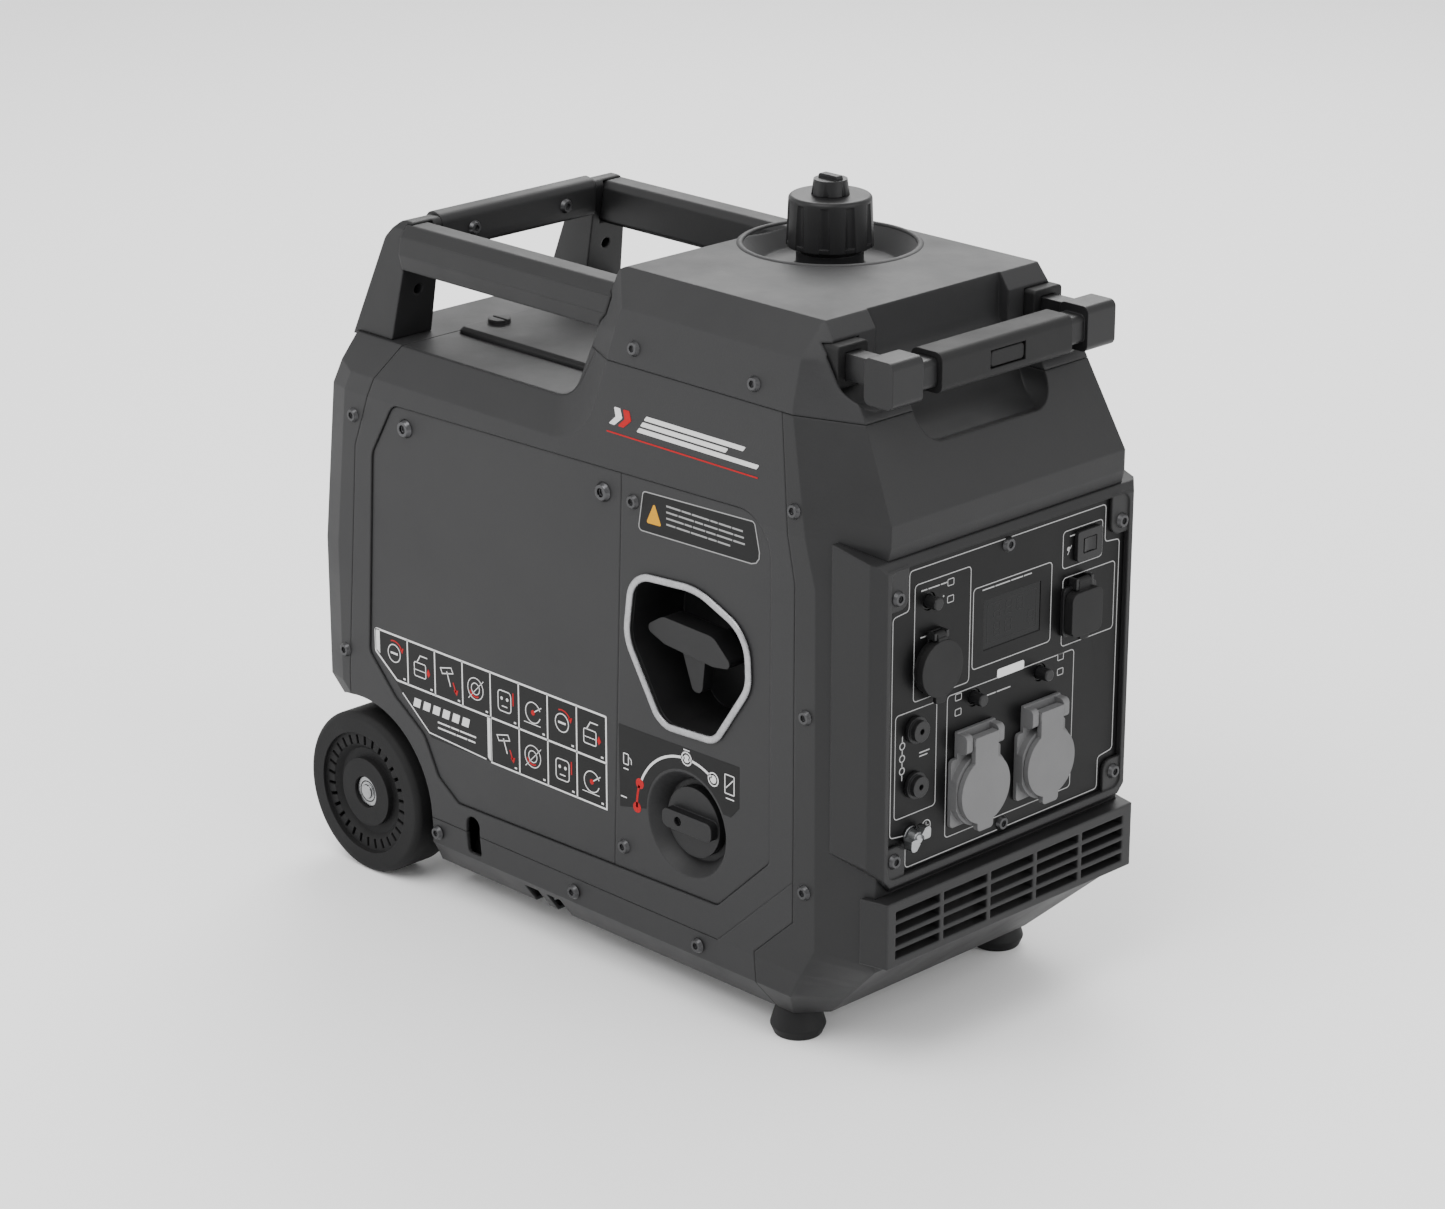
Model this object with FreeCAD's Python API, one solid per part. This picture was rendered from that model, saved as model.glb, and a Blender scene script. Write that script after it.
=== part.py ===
"""Wheeled inverter generator in a closed plastic case.

Millimetres.  +X points to the control panel end, -Y to the starter side, +Z up.
The origin is on the floor under the middle of the machine.
"""
import FreeCAD, Part
import math
import os

V = FreeCAD.Vector

# ------------------------------------------------------------------ driving dimensions
WALL = 3.0                  # casing wall
SEAM = 0.5                  # gap between two casing covers
FIT = 0.3                   # gap between fixed neighbours
RUN = 0.5                   # gap round parts that move
SHAFT_FIT = 0.05            # radial clearance of a running shaft

HALF_W = 140.0              # side planes
FRONT_X = 284.0             # front face behind the control panel
REAR_X = -286.0             # rear face
BELLY_Z = 24.0              # underside
SILL_Z = 67.0               # seam of the base pan
SHOULDER_Z = 396.0          # where the sides start to lean in
DECK_Z = 421.5              # flat deck in front of the rear handle
TOP_Z = 523.0               # top of the tank cover
TANK_SEAM_Z = 462.0         # seam under the tank cover
DECK_HALF = 118.0           # half width of the deck at the top of its chamfer
TOP_HALF = 107.0            # half width of the tank cover top
LEAN_Z = 500.0              # lower edge of the tank cover chamfer
LEAN_HALF = 124.0

WHEEL_X, WHEEL_R, WHEEL_W = -236.0, 64.0, 40.0
WHEEL_FACE = 142.5          # outer face of each wheel
AXLE_R = 8.0
ARCH_GAP = 14.0             # wheel to arch
FOOT_X, FOOT_Y, FOOT_R = 192.5, 104.5, 17.0

SEAM_FRONT_X = 221.0        # seam of the front frame
LOUVRE_X, LOUVRE_Z0, LOUVRE_Z1, LOUVRE_HALF = 297.5, 89.0, 137.0, 127.0
BEZEL_X0, BEZEL_X1 = 252.0, 291.0
BEZEL_Z0, BEZEL_Z1, BEZEL_HALF = 139.0, 372.0, 124.5
PANEL_T = 3.0
PANEL_FACE = FRONT_X + PANEL_T

RAIL_Y, RAIL_Z, RAIL_W, RAIL_H = 99.5, 492.5, 29.0, 33.0
ARM_Y, ARM_Z, ARM_W, ARM_H = 97.0, 495.0, 14.0, 18.0
ARM_BACK = -176.0
BAR_X, BAR_D, BAR_H, BAR_HALF = 267.0, 26.0, 32.0, 111.0
GRIP_HALF, GRIP_H, GRIP_D = 65.0, 28.0, 28.0
UPRIGHT_IN, UPRIGHT_OUT = 77.0, 116.0
UPRIGHT_TOP = 511.0
RAIL_BACK = -210.0          # rear end of the side rails, sunk in the uprights

CAP_X, CAP_Y = 77.5, 40.0
CAP_R, CAP_Z0, CAP_H = 31.0, 522.0, 36.0
KNOB_R, KNOB_H = 13.5, 14.0
NECK_R = 24.0
BOWL_R, BOWL_FLOOR_R, BOWL_Z = 62.0, 48.0, 508.5

DIAL_X, DIAL_Z, DIAL_R = 116.0, 144.0, 26.0
BOWL_DIAL_R, BOWL_DIAL_FLOOR_R, BOWL_DIAL_DEPTH = 39.0, 30.0, 14.0
GRIP_X, GRIP_Z = 112.0, 270.0
CUP_DEPTH = 52.0
ROPE_R = 2.5
PULLEY_R = 55.0
CRANK_Z = GRIP_Z - PULLEY_R

SOCKET_Y = (-33.0, 34.5)
SOCKET_Z, SOCKET_FLANGE = 195.0, 50.0
LID_R, LID_T, LID_FACE = 24.5, 4.0, 300.0
BREAKER_Z = 258.5
DC_BREAKER = (-80.0, 340.0)
DC_SOCKET = (-75.0, 293.0)
DC_BORE_R = 10.75
ECO = (80.0, 342.0)
ECO_PIN_R = 1.0
USB = (71.0, 297.0)
JACKS = ((-92.0, 252.0), (-92.0, 212.0))
JACK_BORE_R = 2.05
GROUND = (-95.0, 176.0)
GROUND_R = 3.0
DISPLAY = (-33.0, 41.0, 284.0, 332.0)


# ------------------------------------------------------------------ helpers
def box(x0, x1, y0, y1, z0, z1):
    return Part.makeBox(x1 - x0, y1 - y0, z1 - z0, V(x0, y0, z0))


def cyl(r, length, at, axis):
    return Part.makeCylinder(r, length, V(*at), V(*axis))


def cone(r0, r1, length, at, axis):
    return Part.makeCone(r0, r1, length, V(*at), V(*axis))


def tube(r_out, r_in, length, at, axis):
    return cyl(r_out, length, at, axis).cut(cyl(r_in, length, at, axis))


def fuse(shapes):
    shapes = list(shapes)
    result = shapes[0].multiFuse(shapes[1:]) if len(shapes) > 1 else shapes[0]
    return result.removeSplitter()


def mirror_y(shape):
    return shape.mirror(V(0, 0, 0), V(0, 1, 0))


def both_sides(shape):
    return Part.makeCompound([shape, mirror_y(shape)])


def rounded(points, close=True):
    """Polyline through 3D points (x, y, z, radius), each corner rounded by its radius."""
    count = len(points)
    edges = []
    ends = []
    for i, p in enumerate(points):
        here = V(p[0], p[1], p[2])
        radius = p[3] if len(p) > 3 else 0.0
        before = V(*points[i - 1][:3])
        after = V(*points[(i + 1) % count][:3])
        if radius <= 0:
            ends.append((here, here, None))
            continue
        a = (before - here).normalize()
        b = (after - here).normalize()
        half = a.getAngle(b) / 2
        reach = radius / math.tan(half)
        middle = (a + b).normalize() * (radius / math.sin(half) - radius)
        ends.append((here + a * reach, here + b * reach, here + middle))
    for i, (start, end, mid) in enumerate(ends):
        if mid is not None:
            edges.append(Part.Arc(start, mid, end).toShape())
        nxt = ends[(i + 1) % count][0]
        if (nxt - end).Length > 1e-6:
            edges.append(Part.makeLine(end, nxt))
    return Part.Wire(edges)


def prism_y(points, y0, y1):
    """Extrude an (x, z, radius) outline from y0 to y1."""
    wire = rounded([(p[0], y0, p[1]) + tuple(p[2:]) for p in points])
    return Part.Face(wire).extrude(V(0, y1 - y0, 0))


def prism_x(points, x0, x1):
    """Extrude a (y, z, radius) outline from x0 to x1."""
    wire = rounded([(x0, p[0], p[1]) + tuple(p[2:]) for p in points])
    return Part.Face(wire).extrude(V(x1 - x0, 0, 0))


def prism_z(points, z0, z1):
    """Extrude an (x, y, radius) outline from z0 to z1."""
    wire = rounded([(p[0], p[1], z0) + tuple(p[2:]) for p in points])
    return Part.Face(wire).extrude(V(0, 0, z1 - z0))


def rect(u0, u1, v0, v1, radius=0.0):
    return [(u0, v0, radius), (u1, v0, radius), (u1, v1, radius), (u0, v1, radius)]


def block(x0, x1, y0, y1, z0, z1, radius, axis="x"):
    """Box with four rounded edges along one axis."""
    if axis == "x":
        return prism_x(rect(y0, y1, z0, z1, radius), x0, x1)
    if axis == "y":
        return prism_y(rect(x0, x1, z0, z1, radius), y0, y1)
    return prism_z(rect(x0, x1, y0, y1, radius), z0, z1)


def along(profile, z):
    """Value of a piecewise linear profile [(z, value), ...] at height z."""
    if z <= profile[0][0]:
        return profile[0][1]
    for (z0, v0), (z1, v1) in zip(profile, profile[1:]):
        if z <= z1:
            return v0 + (v1 - v0) * (z - z0) / (z1 - z0)
    return profile[-1][1]


def biggest(shape):
    return max(shape.Solids, key=lambda solid: solid.Volume)


# ------------------------------------------------------------------ casing envelope
SIDE_PROFILE = [(BELLY_Z, HALF_W - 18), (BELLY_Z + 22, HALF_W - 2), (SILL_Z, HALF_W),
                (SHOULDER_Z - 12, HALF_W), (LEAN_Z, LEAN_HALF), (TOP_Z + 8, TOP_HALF - 8)]
REAR_PROFILE = [(BELLY_Z, REAR_X + 71), (60, REAR_X + 24), (132, REAR_X + 20), (150, REAR_X),
                (260, REAR_X), (385, REAR_X + 14), (DECK_Z + 3, REAR_X + 30), (TOP_Z, REAR_X + 50)]
FRONT_PROFILE = [(BELLY_Z, FRONT_X - 62), (82, FRONT_X), (374, FRONT_X), (386, FRONT_X + 3),
                 (401, FRONT_X + 3), (466, FRONT_X - 29.5), (TOP_Z, FRONT_X - 70)]
FRONT_HALF = [(BELLY_Z, HALF_W - 38), (89, HALF_W - 13), (134, HALF_W - 15), (350, HALF_W - 22),
              (401, HALF_W - 22), (466, HALF_W - 29.5), (TOP_Z, TOP_HALF - 1)]
STRIP_X = [(BELLY_Z, SEAM_FRONT_X - 16), (89, SEAM_FRONT_X + 21), (350, SEAM_FRONT_X + 19),
           (466, SEAM_FRONT_X - 14), (TOP_Z, SEAM_FRONT_X - 9)]


def plan_section(z, inset):
    """Ten-sided plan outline of the case at height z."""
    side = along(SIDE_PROFILE, z) - inset
    rear = along(REAR_PROFILE, z) + inset
    front = along(FRONT_PROFILE, z) - inset
    front_half = min(along(FRONT_HALF, z) - inset, side - 0.5)
    strip = min(along(STRIP_X, z) - inset * 0.4, front - 0.5)
    half = [(front, front_half), (strip, side), (rear + 27, side), (rear + 9, side - 4),
            (rear, side - 20)]
    outline = half + [(x, -y) for x, y in reversed(half)]
    return Part.makePolygon([V(x, y, z) for x, y in outline + outline[:1]])


def plan_envelope(inset):
    heights = set()
    for profile in (SIDE_PROFILE, REAR_PROFILE, FRONT_PROFILE, FRONT_HALF, STRIP_X):
        heights.update(z for z, value in profile)
    low = BELLY_Z + inset
    heights = [z for z in sorted(heights) if z > low + 1]
    return Part.makeLoft([plan_section(z, inset) for z in [low] + heights], True, True)


ROOF_FAR, ROOF_HIGH = 340.0, 700.0
ROOF_UPPER = [(-ROOF_FAR, DECK_Z, 0), (-18.5, DECK_Z, 24), (19, TOP_Z, 10), (ROOF_FAR, TOP_Z, 0)]
ROOF_LOWER = [(-ROOF_FAR, SHOULDER_Z, 0), (19, SHOULDER_Z, 48), (46, LEAN_Z, 14),
              (ROOF_FAR, LEAN_Z, 0)]


def roof_wire(inset, share):
    """Roof outline, closed overhead, at a share of the way across the shoulder chamfer."""
    slope = (TOP_HALF - DECK_HALF) / (TOP_Z - DECK_Z)
    points = []
    for (x0, z0, r0), (x1, z1, r1) in zip(ROOF_UPPER, ROOF_LOWER):
        half0 = DECK_HALF + (z0 - DECK_Z) * slope
        half1 = HALF_W + (z1 - SHOULDER_Z) * slope
        x = x0 + (x1 - x0) * share + (inset if abs(x0) < ROOF_FAR else 0)
        half = half0 + (half1 - half0) * share - inset * 0.6
        z = z0 + (z1 - z0) * share - inset
        points.append((x, -half, z, max(r0 + (r1 - r0) * share, 2) if r0 else 0))
    for x, y, z, r in (points[-1], points[0]):
        points.append((x, y - slope * (ROOF_HIGH - z), ROOF_HIGH, 0))
    return rounded(points)


def envelope(inset):
    """Outer solid of the whole case, shrunk by inset."""
    outline = [(x + (inset if abs(x) < ROOF_FAR else 0), z - inset, r) for x, z, r in ROOF_UPPER]
    outline += [(ROOF_FAR, ROOF_HIGH, 0), (-ROOF_FAR, ROOF_HIGH, 0)]
    above = prism_y(outline, -200, 200)
    shoulder = Part.makeLoft([roof_wire(inset, -0.25), roof_wire(inset, 1.35)], True, True)
    return biggest(plan_envelope(inset).cut(above).cut(shoulder).cut(mirror_y(shoulder)))


# ------------------------------------------------------------------ pockets in the casing
RECESS_X, RECESS_HALF, RECESS_FLOOR = 222.0, 113.0, 468.0
SCOOP_HALF, SCOOP_LIP = 66.0, 440.0
RECESS_R, SCOOP_R = 16.0, 20.0         # lower corners of both, seen from the front
ARCH_R = WHEEL_R + ARCH_GAP
ARCH_IN = WHEEL_FACE - WHEEL_W - 6.0


def wheel_arch(grow):
    return cyl(ARCH_R + grow, 90, (WHEEL_X, -ARCH_IN + grow, WHEEL_R), (0, -1, 0))


def handle_recess(grow):
    """Step behind the pull handle, from side to side."""
    half, low = RECESS_HALF + grow, RECESS_FLOOR - grow
    step = prism_y([(RECESS_X - grow, 560), (RECESS_X - grow, 482 - grow), (RECESS_X + 12, low),
                    (330, low), (330, 560)], -half, half)
    return step.common(prism_x(rect(-half, half, low, 640, RECESS_R + grow), 150, 340))


def finger_scoop(grow):
    """Hollow under the middle of the pull handle, where fingers go round the grip."""
    outline = [(RECESS_X - 9 - grow, 560, 0), (RECESS_X - 9 - grow, 492 - grow, 20),
               (RECESS_X + 18, SCOOP_LIP + 8 - grow, 26), (RECESS_X + 40, SCOOP_LIP - grow, 0),
               (330, SCOOP_LIP - grow, 0), (330, 560, 0)]
    half = SCOOP_HALF + grow
    view = prism_x(rect(-half, half, SCOOP_LIP - grow, 640, SCOOP_R + grow), 150, 340)
    return prism_y(outline, -half, half).common(view)


def sunk(shell, solid, cutter, liner):
    """Press a pocket into a shell: open it and line it with a wall."""
    return shell.cut(cutter).fuse(liner.common(solid).cut(cutter))


def case_shell(solid):
    shell = solid.cut(envelope(WALL))
    for cutter, liner in ((wheel_arch(0), wheel_arch(WALL)),
                          (mirror_y(wheel_arch(0)), mirror_y(wheel_arch(WALL)))):
        shell = sunk(shell, solid, cutter, liner)
    front_cut = fuse([handle_recess(0), finger_scoop(0)])
    front_liner = fuse([handle_recess(WALL), finger_scoop(WALL)])
    return sunk(shell, solid, front_cut, front_liner)


# ------------------------------------------------------------------ casing seams (x, z outlines)
FRONT_SEAM = [(SEAM_FRONT_X - 23, TANK_SEAM_Z), (SEAM_FRONT_X, 350), (SEAM_FRONT_X, 104),
              (184, 70), (184, 42), (194, 10)]
PAN_SEAM = [(-330, SILL_Z), (148, SILL_Z), (SEAM_FRONT_X, 134)]
REAR_SEAM = [(-196, 440), (-216, 392), (-235, 343), (-250, 160), (-250, SILL_Z)]
DOOR = [(-191, 383, 12), (198, 391, 30), (198, 141, 8), (147, 93, 8), (-128, 87, 6),
        (-150, 102, 10), (-165, 131, 20), (-198, 153, 20), (-226, 182, 8), (-216, 341, 20)]
DOOR_SPLIT = [(53, 400), (41, 70)]
DOOR_DEPTH = 1.2
DOOR_T = 2.6


def shift(points, dx, dz=0.0):
    return [(p[0] + dx, p[1] + dz) + tuple(p[2:]) for p in points]


def region_front(gap):
    seam = shift(FRONT_SEAM, gap / 2)
    seam[0] = (seam[0][0], TANK_SEAM_Z - gap / 2)
    return prism_y(seam + [(330, 10), (330, TANK_SEAM_Z - gap / 2)], -200, 200)


def region_pan(gap):
    sill = shift(PAN_SEAM, -gap / 2, -gap / 2)
    front = shift(FRONT_SEAM[2:], -gap / 2)
    return prism_y([(-330, 10)] + sill + front + [(0, 10)], -200, 200)


def region_rear(gap):
    seam = shift(REAR_SEAM, -gap / 2)
    seam[-1] = (seam[-1][0], SILL_Z + gap / 2)
    return prism_y(seam + [(-330, SILL_Z + gap / 2), (-330, 440)], -200, 200)


def region_tank(gap):
    return box(-30, 330, -200, 200, TANK_SEAM_Z + gap / 2, 560)


def region_deck(gap):
    edge = DECK_HALF - gap / 2 - 0.5
    return box(-214 + gap / 2, 60, -edge, edge, SHOULDER_Z + 10, TANK_SEAM_Z - gap / 2)


def opening(outline, gap, y0, y1):
    """Prism of an outline on the side, grown by a gap."""
    wire = rounded([(p[0], y0, p[1]) + tuple(p[2:]) for p in outline])
    if gap:
        wire = wire.makeOffset2D(gap, 0, False, False)
    return Part.Face(wire).extrude(V(0, y1 - y0, 0))


HATCH = (-201.0, -38.0, 67.0)          # x0, x1, half width
VENT_ROWS = 6


def side_vents():
    """Slots low in the right side cover, beside the inverter."""
    slots = []
    for row in range(VENT_ROWS):
        z = 118 + row * 15
        slots.append(block(84, 176, HALF_W - 12, HALF_W + 5, z, z + 7, 3.4, "y"))
    return Part.makeCompound(slots)


def rear_vents():
    """Cooling air slots in the rear cover, round the exhaust outlet."""
    slots = []
    for row in range(9):
        z = 168 + row * 14
        slots.append(block(REAR_X - 5, REAR_X + 12, -92, 6, z, z + 7, 3.4, "x"))
    return Part.makeCompound(slots)


EXHAUST = (62.0, 236.0)                # y, z of the outlet
EXHAUST_HOLE_R = 34.0
TAIL_X = -296.0                        # end of the tail pipe
OIL_NOTCH = [(-119, 50, 3), (-119, 81, 7.4), (-104, 81, 7.4), (-104, 50, 3)]
PAN_SLOTS = (-62.0, -38.0)


def casing():
    """All covers of the case, cut from one shell along their seams."""
    solid = envelope(0)
    shell = case_shell(solid)
    front = region_front(SEAM)
    pan = region_pan(SEAM)
    rear = region_rear(SEAM)
    tank = region_tank(SEAM)
    deck = region_deck(SEAM)
    taken = [region_front(-SEAM), region_pan(-SEAM), region_rear(-SEAM), region_tank(-SEAM),
             region_deck(-SEAM)]
    side = shell.cut(taken[0]).cut(taken[1]).cut(taken[2]).cut(taken[3]).cut(taken[4])
    left = biggest(side.common(box(-330, 330, -200, -1, 0, 600)))
    right = biggest(side.common(box(-330, 330, 1, 200, 0, 600)))
    left = left.cut(opening(DOOR, SEAM, -HALF_W - 10, -HALF_W + 10))
    frame = opening(DOOR, -1.0, -HALF_W + DOOR_DEPTH + DOOR_T + FIT, -HALF_W + 8)
    rim = opening(DOOR, 5.0, -HALF_W + DOOR_DEPTH + DOOR_T + FIT, -HALF_W + 8)
    rim = rim.cut(opening(DOOR, -9.0, -HALF_W - 10, -HALF_W + 10)).common(envelope(FIT))
    rim = rim.cut(taken[0]).cut(taken[1]).cut(taken[2]).cut(wheel_arch(WALL + FIT))
    left = biggest(left.fuse(rim))
    right = right.cut(side_vents())
    parts = {
        "left_side_cover": left,
        "right_side_cover": right,
        "front_frame": biggest(shell.common(front)),
        "base_pan": biggest(shell.common(pan).cut(region_front(0))),
        "rear_cover": biggest(shell.common(rear)),
        "tank_cover": biggest(shell.common(tank)),
        "rear_deck": biggest(shell.common(deck).cut(taken[2])),
    }
    return parts


def finish_casing(parts):
    """Holes, vents and bosses in the covers."""
    rail_hole = both_sides(box(-20, 60, -ARM_Y - ARM_W / 2 - 1, -ARM_Y + ARM_W / 2 + 1,
                               ARM_Z - ARM_H / 2 - 1, ARM_Z + ARM_H / 2 + 1))
    bush_hole = both_sides(box(RECESS_X - 16, RECESS_X + 8, -ARM_Y - BUSH / 2 - FIT,
                               -ARM_Y + BUSH / 2 + FIT, ARM_Z - BUSH / 2 - FIT,
                               ARM_Z + BUSH / 2 + FIT))
    bowl_hole = cyl(BOWL_R, 60, (CAP_X, CAP_Y, BOWL_Z + 4), (0, 0, 1))
    dish_out = cone(BOWL_FLOOR_R + WALL, BOWL_R + WALL, TOP_Z - BOWL_Z + WALL,
                    (CAP_X, CAP_Y, BOWL_Z - WALL), (0, 0, 1))
    dish_in = cone(BOWL_FLOOR_R, BOWL_R, TOP_Z - BOWL_Z, (CAP_X, CAP_Y, BOWL_Z), (0, 0, 1))
    dish_in = dish_in.fuse(cyl(BOWL_R, 20, (CAP_X, CAP_Y, TOP_Z), (0, 0, 1)))
    neck = cyl(NECK_R + RUN, 60, (CAP_X, CAP_Y, BOWL_Z - 20), (0, 0, 1))
    dish = dish_out.common(envelope(0)).cut(dish_in).cut(neck)
    tank = parts["tank_cover"].cut(bowl_hole).cut(dish_in).fuse(dish)
    parts["tank_cover"] = biggest(tank.cut(rail_hole).cut(bush_hole))

    x0, x1, half = HATCH
    hatch_hole = block(x0 - RUN, x1 + RUN, -half - RUN, half + RUN, DECK_Z - 10, DECK_Z + 20, 6, "z")
    ledge = block(x0 - 6, x1 + 6, -half - 6, half + 6, DECK_Z - 6, DECK_Z - WALL, 8, "z")
    well = block(x0 + 8, x1 - 8, -half + 8, half - 8, DECK_Z - 20, DECK_Z + 20, 6, "z")
    deck = parts["rear_deck"].cut(hatch_hole).fuse(ledge).cut(well)
    parts["rear_deck"] = biggest(deck)

    outlet = cyl(EXHAUST_HOLE_R, 60, (REAR_X - 20,) + EXHAUST, (1, 0, 0))
    parts["rear_cover"] = biggest(parts["rear_cover"].cut(rear_vents()).cut(outlet))

    axle = cyl(AXLE_R + FIT, 400, (WHEEL_X, -200, WHEEL_R), (0, 1, 0))
    notch = prism_y(OIL_NOTCH, -HALF_W - 5, -HALF_W + 9)
    slots = [block(x, x + 15, -HALF_W, -HALF_W + 30, 20, 40, 2, "z") for x in PAN_SLOTS]
    feet = both_sides(cyl(4 + FIT, 20, (FOOT_X, -FOOT_Y, BELLY_Z - 5), (0, 0, 1)))
    pan = parts["base_pan"].cut(axle).cut(notch).cut(Part.makeCompound(slots)).cut(feet)
    for name in ("left_side_cover", "right_side_cover"):
        parts[name] = biggest(parts[name].cut(axle).cut(notch))
    front = parts["front_frame"].cut(feet)
    window = box(FRONT_X - 12, FRONT_X + 20, -BEZEL_HALF + 14, BEZEL_HALF - 14,
                 BEZEL_Z0 + 24, BEZEL_Z1 - 14)
    vents = box(FRONT_X - 12, FRONT_X + 20, -LOUVRE_HALF + 14, LOUVRE_HALF - 14,
                LOUVRE_Z0 + 8, LOUVRE_Z1 - 8)
    front = front.cut(window).cut(vents)
    parts["front_frame"] = biggest(front)
    parts["base_pan"] = biggest(pan)
    return parts


# ------------------------------------------------------------------ front end
BUSH = 29.0


def louvre_grille():
    """Air intake block under the control panel."""
    back = FRONT_X + 0.2
    face = prism_x([(-LOUVRE_HALF - 9, LOUVRE_Z0), (LOUVRE_HALF + 9, LOUVRE_Z0),
                    (LOUVRE_HALF + 9, LOUVRE_Z1), (-LOUVRE_HALF - 9, LOUVRE_Z1)], 240, LOUVRE_X)
    facet = prism_z([(SEAM_FRONT_X + 21, -HALF_W), (LOUVRE_X, -LOUVRE_HALF),
                     (LOUVRE_X, LOUVRE_HALF), (SEAM_FRONT_X + 21, HALF_W)], 0, 300)
    grille = face.common(facet).cut(envelope(-0.2))
    grille = biggest(grille.common(box(back - 8, 400, -200, 200, 0, 400)))
    slots = []
    columns, rows = 5, 4
    pitch_y = (2 * LOUVRE_HALF - 14) / columns
    pitch_z = 9.6
    for column in range(columns):
        y0 = -LOUVRE_HALF + 8.5 + column * pitch_y
        for row in range(rows):
            z0 = LOUVRE_Z0 + 5.5 + row * pitch_z
            slots.append(box(back - 12, LOUVRE_X + 5, y0, y0 + pitch_y - 4, z0, z0 + 6.2))
    return biggest(grille.cut(Part.makeCompound(slots)))


def window_outline(shrink):
    half = BEZEL_HALF - 4 - shrink
    return rect(-half, half, BEZEL_Z0 + 11 + shrink, BEZEL_Z1 - 1.5 - shrink, 7)


def panel_bezel():
    """Frame that stands round the control panel."""
    wide, edge = HALF_W - 3.0, BEZEL_HALF
    plan = prism_z([(BEZEL_X0, -wide), (BEZEL_X1 - 8, -wide + 4), (BEZEL_X1, -edge),
                    (BEZEL_X1, edge), (BEZEL_X1 - 8, wide - 4), (BEZEL_X0, wide)], 0, 500)
    side = prism_y([(BEZEL_X0, BEZEL_Z0 + 3), (BEZEL_X1 - 6, BEZEL_Z0), (BEZEL_X1, BEZEL_Z0 + 6),
                    (BEZEL_X1, BEZEL_Z1 - 2), (BEZEL_X1 - 5, BEZEL_Z1 + 4),
                    (BEZEL_X0, BEZEL_Z1 + 13)], -200, 200)
    front = prism_x([(-wide, BEZEL_Z0 + 26), (-wide + 24, BEZEL_Z0), (wide - 24, BEZEL_Z0),
                     (wide, BEZEL_Z0 + 26), (wide, BEZEL_Z1 + 30), (-wide, BEZEL_Z1 + 30)], 0, 500)
    ring = plan.common(side).common(front).cut(envelope(-0.2))
    ring = ring.cut(prism_x(window_outline(FIT / 4), 200, 400))
    lip = PANEL_FACE + 0.2
    tabs = []
    for y_side in (-1, 1):
        inner, outer = y_side * 103, y_side * (BEZEL_HALF - 2)
        top = [(inner, BEZEL_Z1 - 30, 8), (outer, BEZEL_Z1 - 30, 0), (outer, BEZEL_Z1, 0),
               (inner, BEZEL_Z1, 0)]
        low = [(inner, BEZEL_Z0 + 34, 8), (outer, BEZEL_Z0 + 34, 0), (outer, BEZEL_Z0 + 9, 0),
               (inner, BEZEL_Z0 + 9, 0)]
        tabs += [prism_x(top, lip, BEZEL_X1 - 1.2), prism_x(low, lip, BEZEL_X1 - 1.2)]
    return biggest(ring.fuse(tabs).cut(louvre_space()))


def louvre_space():
    return box(FRONT_X - 20, LOUVRE_X + 5, -200, 200, LOUVRE_Z0 - 5, LOUVRE_Z1 + FIT)


def panel_cutters():
    """Everything that passes through the control panel."""
    deep = 20
    x0 = FRONT_X - deep
    holes = []
    for y in SOCKET_Y:
        holes.append(cyl(21 + FIT, 2 * deep, (x0, y, SOCKET_Z), (1, 0, 0)))
        holes.append(cyl(6 + RUN, 2 * deep, (x0, y, BREAKER_Z), (1, 0, 0)))
    holes.append(cyl(6 + RUN, 2 * deep, (x0,) + DC_BREAKER, (1, 0, 0)))
    holes.append(cyl(14 + FIT, 2 * deep, (x0,) + DC_SOCKET, (1, 0, 0)))
    for y, z in JACKS:
        holes.append(cyl(5.5 + FIT, 2 * deep, (x0, y, z), (1, 0, 0)))
    holes.append(cyl(GROUND_R + 0.5, 2 * deep, (x0,) + GROUND, (1, 0, 0)))
    y, z = ECO
    holes.append(block(x0, x0 + 2 * deep, y - 9 - FIT, y + 9 + FIT, z - 7 - FIT, z + 7 + FIT, 1))
    y, z = USB
    holes.append(block(x0, x0 + 2 * deep, y - 13 - FIT, y + 13 + FIT, z - 9 - FIT, z + 9 + FIT, 2))
    y0, y1, z0, z1 = DISPLAY
    holes.append(box(x0, x0 + 2 * deep, y0 + 8, y1 - 8, z0 + 6, z1 - 6))
    return Part.makeCompound(holes)


def control_panel():
    plate = prism_x(window_outline(FIT), FRONT_X + 0.2, PANEL_FACE)
    return biggest(plate.cut(panel_cutters()))


def display_window():
    y0, y1, z0, z1 = DISPLAY
    lens = box(PANEL_FACE - 2.6, PANEL_FACE - 0.4, y0 + 8.2, y1 - 8.2, z0 + 6.2, z1 - 6.2)
    body = box(FRONT_X - 22, FRONT_X - FIT, y0 + 4, y1 - 4, z0 + 2, z1 - 2)
    return fuse([lens, body, box(FRONT_X - 1, PANEL_FACE - 2, y0 + 8.2, y1 - 8.2, z0 + 6.2, z1 - 6.2)])


def flange(y, z, w, h, radius, thick, hole=None):
    plate = block(PANEL_FACE + 0.1, PANEL_FACE + 0.1 + thick, y - w / 2, y + w / 2,
                  z - h / 2, z + h / 2, radius)
    return plate.cut(hole) if hole else plate


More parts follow.
